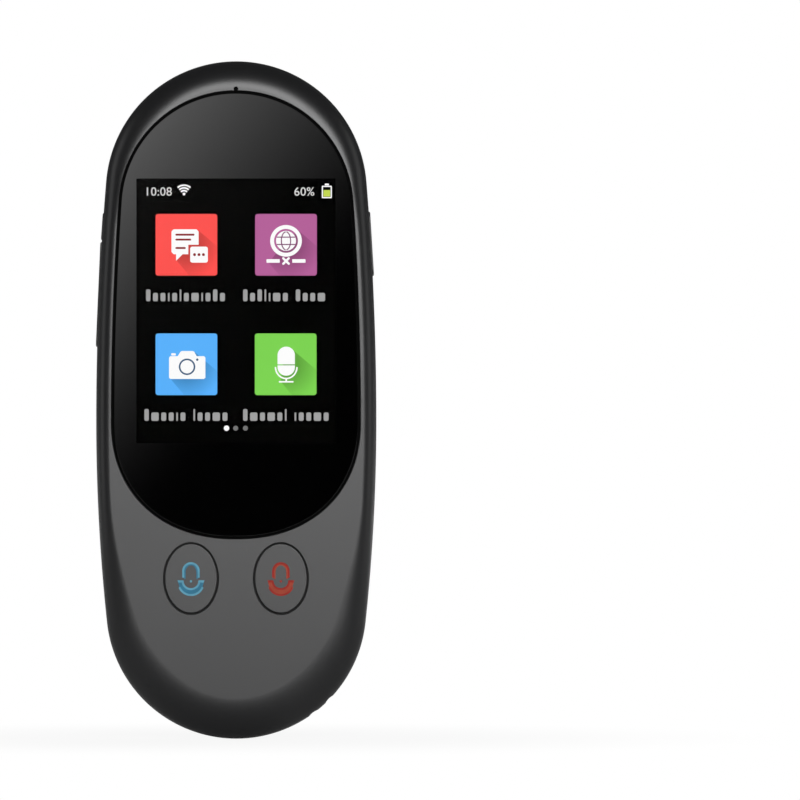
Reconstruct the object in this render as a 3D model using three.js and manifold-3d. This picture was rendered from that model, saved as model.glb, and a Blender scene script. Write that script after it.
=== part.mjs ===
// Handheld translator: a slim two-shell body with a glass-fronted screen, two talk keys,
// side keys, a rear loudspeaker behind a ring-pattern grille, and a rear camera.
// Millimetres. X is right and Z is up as the screen is read, and Y runs from front to back.

import * as THREE from 'three';
import { mergeVertices } from 'three/addons/utils/BufferGeometryUtils.js';
import Module from 'manifold-3d';

// Screen picture and the borders around it, which make the body 125 long and 51.7 wide
const activeWidth = 36.72;
const activeHeight = 48.96;
const activeToSide = 7.49;
const panelSideBorder = 1.94;
const panelTopBorder = 1.95;
const panelBottomBorder = 5.6;
const panelRise = 4.53;
const glassChin = 17.4;
const talkKeyDrop = 7.5;
const talkKeyFromBottom = 29.62;

// Body outline: how much narrower the end arcs are than the widest line, and where that lies
const topShoulder = 1.75;
const bottomShoulder = 1.85;
const waistDrop = 3.9;

// Body section: a front roll, a straight side band and a rear roll
const frontRollDepth = 4.2;
const frontRollSide = 2.6;
const frontRollTop = 3.4;
const frontRollBottom = 7.6;
const rearRollDepth = 5.6;
const rearRollSide = 10;
const rearRollTop = 8;
const rearRollBottom = 11;
const topRampShares = [0.48, 0.92];
const bottomRampShares = [0.29, 0.93];

// Shells and the joint between them
const sideWall = 1.5;
const faceWall = 1.9;
const backWall = 1.3;
const seam = 0.12;
const tongueHeight = 1;
const tongueWall = 0.6;
const tongueGap = 0.15;

// Clearances shared by all pieces
const fitGap = 0.1;
const looseGap = 0.3;
const cutOverrun = 2;

// Snap hooks of the rear cover
const hookWidth = 4;
const hookWall = 0.8;
const hookGap = 0.3;
const hookBoardGap = 0.6;
const hookBarb = 0.6;
const hookBarbHeight = 0.7;
const hookRoot = 2.8;
const hookHeightShares = [0.78, -0.13, -0.6];

// Screen glass and its seat
const glassThickness = 0.9;
const glassTape = 0.2;
const glassGap = 0.34;
const glassSideBand = 0.4;
const glassTopBand = 1.98;
const glassTopShoulder = 1.27;
const glassOvalExponent = 2.18;

// Screen panel and its ribbon
const windowMargin = 0.65;
const windowCorner = 1;
const panelThickness = 1.2;
const panelGasket = 0.2;
const backlightThickness = 1.2;
const panelRibWall = 0.8;
const screenFlexWidth = 14;
const screenFlexThickness = 0.2;
const screenFlexLength = 6;

// Talk keys
const talkKeySpacing = 16.56;
const talkKeyWidth = 9.56;
const talkKeyHeight = 12.64;
const talkKeyEdge = 0.15;
const talkKeyFlange = 0.7;
const talkKeyFlangeThickness = 0.6;
const talkKeyTravel = 0.35;
const talkPadThickness = 0.6;
const talkPadWall = 1;
const talkPadMargin = 0.7;
const talkPadCorner = 3;
const talkNibRadius = 1.5;
const talkDomeRadius = 2.2;
const talkDomeHeight = 0.4;

// Side keys, counted down from the top of the body
const sideKeyHeight = 2.4;
const sideKeyProud = 0.25;
const sideKeyFlange = 0.5;
const sideKeyFlangeThickness = 0.6;
const sideKeyNib = 0.4;
const sideKeyNibWidth = 1.4;
const sideKeyTravel = 0.3;
const sideKeyPlay = 0.3;
const sideKeySlotGap = 0.3;
const powerKeyFromTop = 27.7;
const powerKeyLength = 11.9;
const functionKeyFromTop = 27.95;
const functionKeyLength = 5.05;
const volumeKeySplit = 0.35;
const volumeKeyLength = 19.35;
const volumeSwitchShare = 0.55;

// Side switches
const switchWidth = 3.8;
const switchDepth = 2;
const switchHeight = 1.4;
const plungerWidth = 1.6;
const plungerDepth = 0.5;
const plungerHeight = 0.8;

// Main board
const boardThickness = 0.9;
const boardBehindBacklight = 0.25;
const boardEdgeGap = 0.6;
const boardKeyNotch = 1.2;
const solderGap = 0.05;

// Board screws and bosses
const screwRadius = 0.8;
const screwHeadRadius = 1.4;
const screwHeadHeight = 0.6;
const screwLength = 3.2;
const bossWall = 0.8;
const topBossSpacing = 30;
const middleBossInset = 5.15;
const bossPanelGap = 1;

// Battery, which fills the board between the cans and the bosses
const batteryThickness = 5;
const batteryCorner = 1.5;
const batteryTape = 0.25;
const batterySideGap = 2.3;
const batteryBelowCans = 4.35;
const batteryAboveCharger = 3.5;
const batteryPadThickness = 1.45;
const batteryPadWidth = 20;
const batteryPadLength = 30;

// Shield cans on the back of the board
const canLength = 13;
const canHeight = 1.4;
const canWall = 0.3;
const canGap = 1.15;
const canSideInset = 8.45;
const chargerCanWidth = 16;
const chargerCanLength = 7;
const chargerAboveSocket = 9.8;

// Loudspeaker and the grille in front of it
const grilleMargin = 1.63;
const grilleRingShares = [0.106, 0.247, 0.385, 0.517, 0.647, 0.767, 0.887, 1];
const grilleRingCounts = [4, 8, 16, 24, 32, 40, 48, 60];
const grilleInnerHoleRadius = 0.53;
const grilleOuterHoleRadius = 0.37;
const grilleHoleSides = 5;
const speakerRollLap = 0.6;
const speakerSideGap = 10.3;
const speakerFrameWidth = 1.1;
const speakerHeight = 4.3;
const speakerRimHeight = 1;
const speakerWall = 0.8;
const magnetRadius = 7.8;
const magnetGap = 0.1;
const coneWall = 0.3;
const coneDepth = 1.5;
const coneDomeRadius = 4.6;
const speakerGasket = 0.8;
const speakerGasketInset = 0.2;
const dustMeshThickness = 0.25;
const speakerRibWall = 0.8;
const speakerRibHeight = 2;

// Camera
const cameraRibGap = 0.15;
const cameraRingRadius = 4.2;
const cameraRingWidth = 0.58;
const cameraRingFlange = 0.7;
const cameraRingFlangeHeight = 0.6;
const cameraRingRecess = 0.05;
const cameraRingCrown = 0.22;
const hoodDepth = 1.1;
const barrelSideGap = 0.15;
const barrelWall = 0.55;
const barrelDepth = 0.9;
const lensRadius = 1.82;
const lensSideGap = 0.08;
const lensCrown = 0.4;
const lensBelowBarrel = 0.2;
const lensProfileShares = [[1, 0], [0.8, 0.5], [0.5, 0.85], [0, 1]];
const cameraBodyWidth = 8.5;
const cameraBodyHeight = 2.6;

// Microphone at the top of the front face
const micHoleRadius = 0.3;
const micAboveGlass = 0.5;
const micBootRadius = 1.25;
const micWidth = 2.6;
const micLength = 2.2;
const micHeight = 0.9;

// Charging socket
const socketWidth = 8.94;
const socketHeight = 3.16;
const socketLength = 7.3;
const socketWall = 0.3;
const socketRecess = 0.4;
const socketEndFlat = 0.08;
const socketTongueWidth = 6.7;
const socketTongueThickness = 0.7;
const socketTongueLength = 4.5;
const socketInsulator = 1.6;

// Lanyard eye moulded into the lower right corner
const eyeDegreesFromBottom = 41.1;
const eyeBarRadius = 1;
const eyeTunnelWidth = 2.3;
const eyeTunnelHeight = 2.2;
const eyeWall = 1.1;
const eyeScoopRadius = 3;
const eyeScoopDepth = 0.28;

// Aerial film on the inside of the rear cover
const aerialWidth = 17;
const aerialLength = 6;
const aerialThickness = 0.25;
const aerialAboveBottom = 20;

// Step counts
const endSteps = 18;
const sideSteps = 3;
const frontRollSteps = 4;
const rearRollSteps = 5;
const innerRollSteps = 3;
const ovalSteps = 20;
const roundSteps = 20;
const hiddenRoundSteps = 16;
const smallRoundSteps = 8;
const cornerSteps = 3;
const hiddenCornerSteps = 1;

// Thickness as the sum of the layers behind the face: 14 with these sizes
const bodyThickness = faceWall + panelGasket + fitGap + panelThickness + backlightThickness
  + boardBehindBacklight + boardThickness + batteryTape + batteryThickness + batteryPadThickness
  + backWall + 5 * solderGap;

// Levels along Y, counted from the front of the glass
const frontY = -bodyThickness / 2;
const backY = bodyThickness / 2;
const bandFrontY = frontY + frontRollDepth;
const bandBackY = backY - rearRollDepth;
const floorY = frontY + faceWall;
const ceilingY = backY - backWall;
const glassBackY = frontY + glassThickness;
const shelfY = glassBackY + glassTape + fitGap;
const panelFrontY = floorY + panelGasket + fitGap;
const backlightFrontY = panelFrontY + panelThickness + solderGap;
const backlightBackY = backlightFrontY + backlightThickness;
const boardFrontY = backlightBackY + boardBehindBacklight;
const boardBackY = boardFrontY + boardThickness;
const partsY = boardBackY + solderGap;
const bandMiddleY = (bandFrontY + bandBackY) / 2;
const hookDrop = bandBackY - boardBackY - hookBoardGap;
const talkKeyBackY = floorY + fitGap + talkKeyFlangeThickness;

// Places in the front view
const halfWidth = activeWidth / 2 + activeToSide;
const topRadius = halfWidth - topShoulder;
const bottomRadius = halfWidth - bottomShoulder;
const activeFromTop = topRadius - panelRise + panelTopBorder;
const activeFromBottom = glassChin + talkKeyDrop + talkKeyFromBottom;
const halfLength = (activeFromTop + activeHeight + activeFromBottom) / 2;
const topArcZ = halfLength - topRadius;
const bottomArcZ = bottomRadius - halfLength;
const panelHalfWidth = activeWidth / 2 + panelSideBorder;
const panelTopZ = topArcZ + panelRise;
const activeTopZ = halfLength - activeFromTop;
const activeBottomZ = activeTopZ - activeHeight;
const panelBottomZ = activeBottomZ - panelBottomBorder;
const glassBottomZ = activeBottomZ - glassChin;
const glassTopZ = halfLength - frontRollTop - glassTopBand;
const talkKeyZ = glassBottomZ - talkKeyDrop;
const talkPadHalfWidth = talkKeySpacing / 2 + talkKeyWidth / 2 + talkKeyFlange + talkPadMargin;
const talkPadHalfHeight = talkKeyHeight / 2 + talkKeyFlange + talkPadMargin;
const bossRadius = screwRadius + looseGap + bossWall;
const topBossZ = panelTopZ + bossPanelGap + bossRadius;
const middleBossZ = panelBottomZ - bossPanelGap * 2 - bossRadius;
const middleBossX = halfWidth - middleBossInset;
const speakerRadius = topRadius - speakerSideGap;
const grilleRadius = speakerRadius - grilleMargin;
const grilleZ = halfLength - rearRollTop + speakerRollLap - speakerRadius;
const speakerRibRadius = speakerRadius + looseGap + speakerRibWall;
const cameraZ = grilleZ - speakerRibRadius - cameraRibGap - cameraRingFlange - cameraRingRadius;
const micZ = glassTopZ + micAboveGlass;

// Radii of the camera, from the lens outwards and from its trim ring inwards
const cameraHoleRadius = cameraRingRadius + looseGap;
const cameraRingInner = cameraRingRadius - cameraRingWidth;
const barrelBore = lensRadius + lensSideGap;
const barrelRadius = barrelBore + barrelWall;
const hoodInnerRadius = barrelRadius + barrelSideGap;

const wasm = await Module();
wasm.setup();

// Materials
const shellPlastic = new THREE.MeshStandardMaterial({ color: 0x2c2c2e, roughness: 0.45 });
const blackGlass = new THREE.MeshStandardMaterial({ color: 0x050506, roughness: 0.05 });
const chrome = new THREE.MeshStandardMaterial({ color: 0xd8d8da, roughness: 0.12, metalness: 1 });
const blackPlastic = new THREE.MeshStandardMaterial({ color: 0x121213, roughness: 0.5 });
const greyPlastic = new THREE.MeshStandardMaterial({ color: 0x4a4c4d, roughness: 0.4 });
const lensGlass = new THREE.MeshStandardMaterial({ color: 0x1d2620, roughness: 0.03 });
const rubber = new THREE.MeshStandardMaterial({ color: 0x1a1a1a, roughness: 0.9 });
const foam = new THREE.MeshStandardMaterial({ color: 0x202022, roughness: 1 });
const circuitBoard = new THREE.MeshStandardMaterial({ color: 0x1d5a3a, roughness: 0.6 });
const steel = new THREE.MeshStandardMaterial({ color: 0xb9bcc0, roughness: 0.3, metalness: 1 });
const copper = new THREE.MeshStandardMaterial({ color: 0xb87a3d, roughness: 0.4, metalness: 1 });
const cellFoil = new THREE.MeshStandardMaterial({ color: 0x9a9ca2, roughness: 0.4, metalness: 0.6 });
const whitePlastic = new THREE.MeshStandardMaterial({ color: 0xe6e6e2, roughness: 0.5 });
const screenPanel = new THREE.MeshStandardMaterial({ color: 0x08090a, roughness: 0.2 });
const amberFilm = new THREE.MeshStandardMaterial({ color: 0xa8641c, roughness: 0.4 });

// Turns a closed three.js geometry into a solid that can be cut and joined.
function toSolid(geometry) {
  const bare = geometry.clone();
  bare.deleteAttribute('normal');
  bare.deleteAttribute('uv');
  const merged = mergeVertices(bare);
  const corners = merged.index.array;
  const kept = [];
  for (let i = 0; i < corners.length; i += 3) {
    const [a, b, c] = corners.slice(i, i + 3);
    if (a !== b && b !== c && c !== a) kept.push(a, b, c);
  }
  return new wasm.Manifold(new wasm.Mesh({
    numProp: 3,
    vertProperties: new Float32Array(merged.attributes.position.array),
    triVerts: new Uint32Array(kept),
  }));
}

function toGeometry(solid) {
  const mesh = solid.getMesh();
  const geometry = new THREE.BufferGeometry();
  geometry.setAttribute('position', new THREE.BufferAttribute(mesh.vertProperties, 3));
  geometry.setIndex(new THREE.BufferAttribute(mesh.triVerts, 1));
  const faceted = geometry.toNonIndexed();
  faceted.computeVertexNormals();
  return faceted;
}

function joined(solids) {
  return solids.reduce((whole, solid) => whole.add(solid));
}

// Outline stations: points on the outline with the direction that faces outwards.
function arcStations(centreX, centreZ, radius, startAngle, endAngle, steps) {
  const stations = [];
  for (let i = 0; i <= steps; i += 1) {
    const angle = startAngle + (endAngle - startAngle) * (i / steps);
    const nx = Math.cos(angle);
    const nz = Math.sin(angle);
    stations.push({ x: centreX + radius * nx, z: centreZ + radius * nz, nx, nz });
  }
  return stations;
}

// Right-hand quarter from the top of an end arc down a tangent side arc to the widest line.
function endQuarter(half, endZ, endRadius, waistZ, endStepCount, sideStepCount) {
  const arcZ = endZ - endRadius;
  const rise = arcZ - waistZ;
  const sideRadius = (half ** 2 + rise ** 2 - endRadius ** 2) / (2 * (half - endRadius));
  const sideX = half - sideRadius;
  const tangent = Math.atan2(rise, -sideX);
  const end = arcStations(0, arcZ, endRadius, Math.PI / 2, tangent, endStepCount);
  const side = arcStations(sideX, waistZ, sideRadius, tangent, 0, sideStepCount);
  return [...end, ...side.slice(1)];
}

function flipped(stations) {
  return stations.map(({ x, z, nx, nz }) => ({ x, z: -z, nx, nz: -nz })).reverse();
}

function withLeftHalf(right) {
  const left = right.slice(1, -1).map(({ x, z, nx, nz }) => ({ x: -x, z, nx: -nx, nz }));
  return [...right, ...left.reverse()];
}

function bodyRightHalf() {
  const upper = endQuarter(halfWidth, halfLength, topRadius, -waistDrop, endSteps / 2, sideSteps);
  const lower = endQuarter(halfWidth, halfLength, bottomRadius, waistDrop, endSteps / 2, sideSteps);
  return [...upper, ...flipped(lower).slice(1)];
}

const bodyRight = bodyRightHalf();
const bodyStations = withLeftHalf(bodyRight);

// Station of the body outline at a height, on the right-hand side.
function stationAt(z) {
  const below = bodyRight.findIndex((station) => station.z <= z);
  const a = bodyRight[below - 1];
  const b = bodyRight[below];
  const share = (a.z - z) / (a.z - b.z);
  const mix = (key) => THREE.MathUtils.lerp(a[key], b[key], share);
  return { x: mix('x'), z, nx: mix('nx'), nz: mix('nz') };
}

// Glass outline: arcs down to the widest line, and one half of an oval below it.
function glassStations() {
  const half = halfWidth - frontRollSide - glassSideBand;
  const waistZ = -waistDrop;
  const topArcRadius = half - glassTopShoulder;
  const upper = endQuarter(half, glassTopZ, topArcRadius, waistZ, endSteps / 2, sideSteps);
  const drop = waistZ - glassBottomZ;
  const power = glassOvalExponent;
  const lower = [];
  for (let i = 1; i <= ovalSteps / 2; i += 1) {
    const angle = (Math.PI / 2) * (i / (ovalSteps / 2));
    const across = Math.max(0, Math.cos(angle)) ** (2 / power);
    const down = Math.sin(angle) ** (2 / power);
    const normal = new THREE.Vector2(across ** (power - 1) / half, -(down ** (power - 1)) / drop);
    normal.normalize();
    lower.push({ x: half * across, z: waistZ - drop * down, nx: normal.x, nz: normal.y });
  }
  return withLeftHalf([...upper, ...lower]);
}

function ringAt(stations, insetOf, y) {
  return stations.map((station) => {
    const inset = insetOf(station);
    return new THREE.Vector3(station.x - station.nx * inset, y, station.z - station.nz * inset);
  });
}

// Closed body through rings of equal count, ordered from front to back.
function loft(rings) {
  const count = rings[0].length;
  const positions = [];
  const face = (a, b, c) => positions.push(...a.toArray(), ...b.toArray(), ...c.toArray());
  for (let j = 0; j + 1 < rings.length; j += 1) {
    for (let i = 0; i < count; i += 1) {
      const next = (i + 1) % count;
      face(rings[j][i], rings[j][next], rings[j + 1][next]);
      face(rings[j][i], rings[j + 1][next], rings[j + 1][i]);
    }
  }
  const front = rings[0];
  const back = rings[rings.length - 1];
  for (let i = 1; i + 1 < count; i += 1) {
    face(front[0], front[i + 1], front[i]);
    face(back[0], back[i], back[i + 1]);
  }
  const geometry = new THREE.BufferGeometry();
  geometry.setAttribute('position', new THREE.Float32BufferAttribute(positions, 3));
  return toSolid(geometry);
}

function prism(stations, inset, fromY, toY) {
  const insetOf = () => inset;
  return loft([ringAt(stations, insetOf, fromY), ringAt(stations, insetOf, toY)]);
}

// Width of a roll around the outline: one value on the sides, others at the two ends.
function rollWidth(z, side, top, bottom) {
  const [topFrom, topTo] = topRampShares;
  const [bottomFrom, bottomTo] = bottomRampShares;
  const up = THREE.MathUtils.smoothstep(z, topFrom * halfLength, topTo * halfLength);
  const down = THREE.MathUtils.smoothstep(-z, bottomFrom * halfLength, bottomTo * halfLength);
  return side + (top - side) * up + (bottom - side) * down;
}

const frontRoll = ({ z }) => rollWidth(z, frontRollSide, frontRollTop, frontRollBottom);
const rearRoll = ({ z }) => rollWidth(z, rearRollSide, rearRollTop, rearRollBottom);

// Rings of a quarter-round roll that starts at the side band and ends at a flat face.
function rollRings(roll, bandY, depth, wall, steps) {
  const rings = [];
  for (let i = 0; i <= steps; i += 1) {
    const angle = (Math.PI / 2) * (i / steps);
    const insetOf = (station) => roll(station) - (roll(station) - wall) * Math.cos(angle);
    rings.push(ringAt(bodyStations, insetOf, bandY + depth * Math.sin(angle)));
  }
  return rings;
}

// Front case without its cavity, up to the tongue that enters the rear cover.
function frontSkin() {
  const roll = rollRings(frontRoll, bandFrontY, -frontRollDepth, 0, frontRollSteps).reverse();
  const tongueInset = () => sideWall - tongueWall;
  return loft([
    ...roll,
    ringAt(bodyStations, () => 0, bandBackY),
    ringAt(bodyStations, tongueInset, bandBackY),
    ringAt(bodyStations, tongueInset, bandBackY + tongueHeight),
  ]);
}

function frontCavity() {
  const depth = floorY - bandFrontY;
  const roll = rollRings(frontRoll, bandFrontY, depth, sideWall, innerRollSteps).reverse();
  return loft([...roll, ringAt(bodyStations, () => sideWall, backY)]);
}

function rearSkin() {
  const roll = rollRings(rearRoll, bandBackY, rearRollDepth, 0, rearRollSteps);
  return loft([ringAt(bodyStations, () => 0, bandBackY + seam), ...roll.slice(1)]);
}

// Cavity of the rear cover, wider at its mouth to take the tongue.
function rearCavity() {
  const mouthInset = () => sideWall - tongueWall - tongueGap;
  const mouthY = bandBackY + tongueHeight + tongueGap;
  const roll = rollRings(rearRoll, mouthY, ceilingY - mouthY, sideWall, innerRollSteps);
  return loft([
    ringAt(bodyStations, mouthInset, bandBackY - cutOverrun),
    ringAt(bodyStations, mouthInset, mouthY),
    ...roll,
  ]);
}

// Shapes are drawn in the front view and extruded from front to back.
function extruded(shape, fromY, toY, curveSegments = cornerSteps) {
  const geometry = new THREE.ExtrudeGeometry(shape, {
    depth: toY - fromY,
    bevelEnabled: false,
    curveSegments,
  });
  return toSolid(geometry.rotateX(Math.PI / 2).translate(0, toY, 0));
}

// Rectangle with its own corner radius at the lower and at the upper end.
function barShape(minX, maxX, minZ, maxZ, lowerCorner, upperCorner = lowerCorner) {
  const shape = new THREE.Shape();
  shape.moveTo(minX + lowerCorner, minZ);
  shape.lineTo(maxX - lowerCorner, minZ);
  if (lowerCorner > 0) {
    shape.absarc(maxX - lowerCorner, minZ + lowerCorner, lowerCorner, -Math.PI / 2, 0, false);
  }
  shape.lineTo(maxX, maxZ - upperCorner);
  if (upperCorner > 0) {
    shape.absarc(maxX - upperCorner, maxZ - upperCorner, upperCorner, 0, Math.PI / 2, false);
  }
  shape.lineTo(minX + upperCorner, maxZ);
  if (upperCorner > 0) {
    shape.absarc(minX + upperCorner, maxZ - upperCorner, upperCorner, Math.PI / 2, Math.PI, false);
  }
  shape.lineTo(minX, minZ + lowerCorner);
  if (lowerCorner > 0) {
    shape.absarc(minX + lowerCorner, minZ + lowerCorner, lowerCorner, Math.PI, Math.PI * 1.5, false);
  }
  return shape;
}

function centredBar(width, height, corner) {
  return barShape(-width / 2, width / 2, -height / 2, height / 2, corner);
}

function block(minX, maxX, fromY, toY, minZ, maxZ) {
  const geometry = new THREE.BoxGeometry(maxX - minX, toY - fromY, maxZ - minZ);
  return toSolid(geometry.translate((minX + maxX) / 2, (fromY + toY) / 2, (minZ + maxZ) / 2));
}

function rod(radius, fromY, toY, steps = smallRoundSteps) {
  const geometry = new THREE.CylinderGeometry(radius, radius, toY - fromY, steps);
  return toSolid(geometry.translate(0, (fromY + toY) / 2, 0));
}

// Solid of revolution about Y from radius and level pairs that close on themselves.
function turned(pairs, steps = hiddenRoundSteps) {
  const points = [...pairs, pairs[0]].map(([radius, y]) => new THREE.Vector2(radius, y));
  return toSolid(new THREE.LatheGeometry(points, steps));
}

function ellipse(halfX, halfZ) {
  const shape = new THREE.Shape();
  shape.absellipse(0, 0, halfX, halfZ, 0, Math.PI * 2, false, 0);
  return shape;
}

// A frame on the side of the body: X faces out of the side, Z runs along it.
function sideFrame(middleZ, side) {
  const station = stationAt(middleZ);
  const frame = new THREE.Group();
  frame.position.set(station.x * side, bandMiddleY, station.z);
  frame.rotation.y = -Math.atan2(station.nz, station.nx * side);
  frame.updateMatrix();
  return frame;
}

function placedBy(solid, frame) {
  return solid.transform(frame.matrix.toArray());
}

// Bar that points along X with its long side on Z, as cut or key of a side frame.
function sideBar(fromX, toX, minZ, maxZ, height, lowerCorner, upperCorner) {
  const shape = barShape(-height / 2, height / 2, minZ, maxZ, lowerCorner, upperCorner);
  const geometry = new THREE.ExtrudeGeometry(shape, {
    depth: toX - fromX,
    bevelEnabled: false,
    curveSegments: cornerSteps,
  });
  const axes = new THREE.Matrix4().makeBasis(
    new THREE.Vector3(0, 1, 0),
    new THREE.Vector3(0, 0, 1),
    new THREE.Vector3(1, 0, 0),
  );
  return toSolid(geometry.applyMatrix4(axes).translate(fromX, 0, 0));
}

// Side keys: each has the body side it sits on, its ends, and which ends are round and flanged.
const powerKeyTop = halfLength - powerKeyFromTop;
const functionKeyTop = halfLength - functionKeyFromTop;
const volumeKeyTop = functionKeyTop - functionKeyLength - volumeKeySplit;
const sideKeys = [
  { name: 'power', side: 1, top: powerKeyTop, length: powerKeyLength, openTop: true, openBottom: true },
  { name: 'function', side: -1, top: functionKeyTop, length: functionKeyLength, openTop: true,
    openBottom: false },
  { name: 'volume', side: -1, top: volumeKeyTop, length: volumeKeyLength, openTop: false,
    openBottom: true },
].map((key) => ({ ...key, middle: key.top - key.length / 2, half: key.length / 2 }));

// On the left side the frame is turned half round, so its Z runs down the body.
function keyBar(key, fromX, toX, height, growOpen, growClosed) {
  const corner = height / 2;
  const up = key.half + (key.openTop ? growOpen : growClosed);
  const down = key.half + (key.openBottom ? growOpen : growClosed);
  const upCorner = key.openTop ? corner : 0;
  const downCorner = key.openBottom ? corner : 0;
  return key.side > 0
    ? sideBar(fromX, toX, -down, up, height, downCorner, upCorner)
    : sideBar(fromX, toX, -up, down, height, upCorner, downCorner);
}

function sideKey(key) {
  const flangeX = -sideWall - sideKeyPlay;
  const nibX = flangeX - sideKeyFlangeThickness;
  const cap = keyBar(key, flangeX - fitGap, sideKeyProud, sideKeyHeight, 0, 0);
  const flangeHeight = sideKeyHeight + 2 * sideKeyFlange;
  const flange = keyBar(key, nibX, flangeX, flangeHeight, sideKeyFlange, 0);
  const nibPlaces = key.name === 'volume' ? [-1, 1].map((end) => end * key.half * volumeSwitchShare) : [0];
  const nibs = nibPlaces.map((z) => sideBar(nibX - sideKeyNib, nibX + fitGap, z - sideKeyNibWidth / 2,
    z + sideKeyNibWidth / 2, sideKeyNibWidth, 0, 0));
  return joined([cap, flange, ...nibs]);
}

function sideKeySlot(key) {
  const slot = keyBar(key, -sideWall - cutOverrun, cutOverrun, sideKeyHeight + sideKeySlotGap,
    sideKeySlotGap, sideKeySlotGap);
  return placedBy(slot, sideFrame(key.middle, key.side));
}

// Pocket in the board edge that leaves room for a key flange and its travel.
function boardKeyNotchCut(key) {
  const depth = sideWall + sideKeyPlay + sideKeyFlangeThickness + sideKeyTravel + boardKeyNotch;
  const reach = key.half + sideKeyFlange + looseGap;
  const cut = block(-depth, cutOverrun, -bodyThickness, bodyThickness, -reach, reach);
  return placedBy(cut, sideFrame(key.middle, key.side));
}

function sideSwitch() {
  const keyDepth = sideKeyPlay + sideKeyFlangeThickness + sideKeyNib;
  const plungerX = -sideWall - keyDepth - sideKeyTravel - fitGap;
  const bodyX = plungerX - plungerDepth;
  const halfPlunger = plungerWidth / 2;
  const low = partsY - bandMiddleY;
  const middle = low + switchHeight / 2;
  return joined([
    block(bodyX - switchDepth, bodyX, low, low + switchHeight, -switchWidth / 2, switchWidth / 2),
    block(bodyX - fitGap, plungerX, middle - plungerHeight / 2, middle + plungerHeight / 2,
      -halfPlunger, halfPlunger),
  ]);
}

// Lanyard eye: a half-round tunnel around a bar, centred on the outline of the corner.
function eyeFrame() {
  const angle = THREE.MathUtils.degToRad(eyeDegreesFromBottom);
  const frame = new THREE.Group();
  const reach = new THREE.Vector2(Math.sin(angle), -Math.cos(angle)).multiplyScalar(bottomRadius);
  frame.position.set(reach.x, 0, bottomArcZ + reach.y);
  frame.rotation.y = Math.PI / 2 - angle;
  frame.updateMatrix();
  return frame;
}

const eyePlace = eyeFrame();
const eyeOuterRadius = eyeBarRadius + eyeTunnelWidth;

function eyeTunnel() {
  const ring = new THREE.Shape();
  ring.absarc(0, 0, eyeOuterRadius, 0, Math.PI * 2, false);
  const bar = new THREE.Path();
  bar.absarc(0, 0, eyeBarRadius, 0, Math.PI * 2, true);
  ring.holes.push(bar);
  const low = bandMiddleY - eyeTunnelHeight / 2;
  return placedBy(extruded(ring, low, low + eyeTunnelHeight, roundSteps / 2), eyePlace);
}

function eyeScoops() {
  const along = (eyeBarRadius + eyeOuterRadius) / 2;
  const out = eyeScoopRadius - eyeScoopDepth;
  const overrun = cutOverrun / 2;
  const scoop = rod(eyeScoopRadius, bandFrontY - overrun, bandBackY + overrun, hiddenRoundSteps);
  return placedBy(joined([-1, 1].map((end) => scoop.translate(out, 0, end * along))), eyePlace);
}

function eyeBlock(grow, fromY, toY) {
  return placedBy(rod(eyeOuterRadius + eyeWall + grow, fromY, toY, hiddenRoundSteps), eyePlace);
}

function socketShape(grow) {
  const corner = socketHeight / 2 - socketEndFlat + grow;
  return centredBar(socketWidth + 2 * grow, socketHeight + 2 * grow, corner);
}

// The socket points down: its section lies flat and is extruded up the body.
function socketBar(shape, fromZ, toZ) {
  const geometry = new THREE.ExtrudeGeometry(shape, {
    depth: toZ - fromZ,
    bevelEnabled: false,
    curveSegments: cornerSteps,
  });
  return toSolid(geometry.translate(0, bandMiddleY, fromZ));
}

const socketBottomZ = -halfLength + socketRecess;
const socketTopZ = socketBottomZ + socketLength;

const bossPlaces = [-1, 1].flatMap((side) => [
  { x: side * topBossSpacing / 2, z: topBossZ },
  { x: side * middleBossX, z: middleBossZ },
]);

function boss({ x, z }) {
  const tube = rod(bossRadius, floorY - fitGap, boardFrontY - fitGap);
  const bore = rod(screwRadius + looseGap, floorY + fitGap, boardFrontY);
  return tube.subtract(bore).translate(x, 0, z);
}

function windowShape(grow) {
  const halfX = activeWidth / 2 + windowMargin + grow;
  const minZ = activeBottomZ - windowMargin - grow;
  const maxZ = activeTopZ + windowMargin + grow;
  return barShape(-halfX, halfX, minZ, maxZ, windowCorner);
}

function panelShape(grow) {
  const halfX = panelHalfWidth + grow;
  return barShape(-halfX, halfX, panelBottomZ - grow, panelTopZ + grow, windowCorner);
}

// Pocket in the side wall that a snap hook of the rear cover springs into.
function hookFrames() {
  return hookHeightShares.flatMap((share) => {
    const station = stationAt(share * halfLength);
    return [-1, 1].map((side) => {
      const frame = new THREE.Group();
      frame.position.set(station.x * side, bandBackY, station.z);
      frame.rotation.y = -Math.atan2(station.nz, station.nx * side);
      frame.updateMatrix();
      return frame;
    });
  });
}

function hookPocket() {
  const half = hookWidth / 2 + looseGap;
  const low = -hookDrop - looseGap;
  return block(-sideWall - fitGap, -sideWall + hookBarb, low, low + hookBarbHeight + 2 * looseGap,
    -half, half);
}

function hook() {
  const outerX = -sideWall - hookGap;
  const innerX = outerX - hookWall;
  const barb = new THREE.Shape();
  barb.moveTo(innerX, -hookDrop);
  barb.lineTo(outerX, -hookDrop);
  barb.lineTo(outerX + hookBarb, -hookDrop + hookBarbHeight);
  barb.lineTo(outerX, -hookDrop + hookBarbHeight);
  barb.lineTo(outerX, hookRoot);
  barb.lineTo(innerX, hookRoot);
  const geometry = new THREE.ExtrudeGeometry(barb, { depth: hookWidth, bevelEnabled: false });
  return toSolid(geometry.translate(0, 0, -hookWidth / 2));
}

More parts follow.
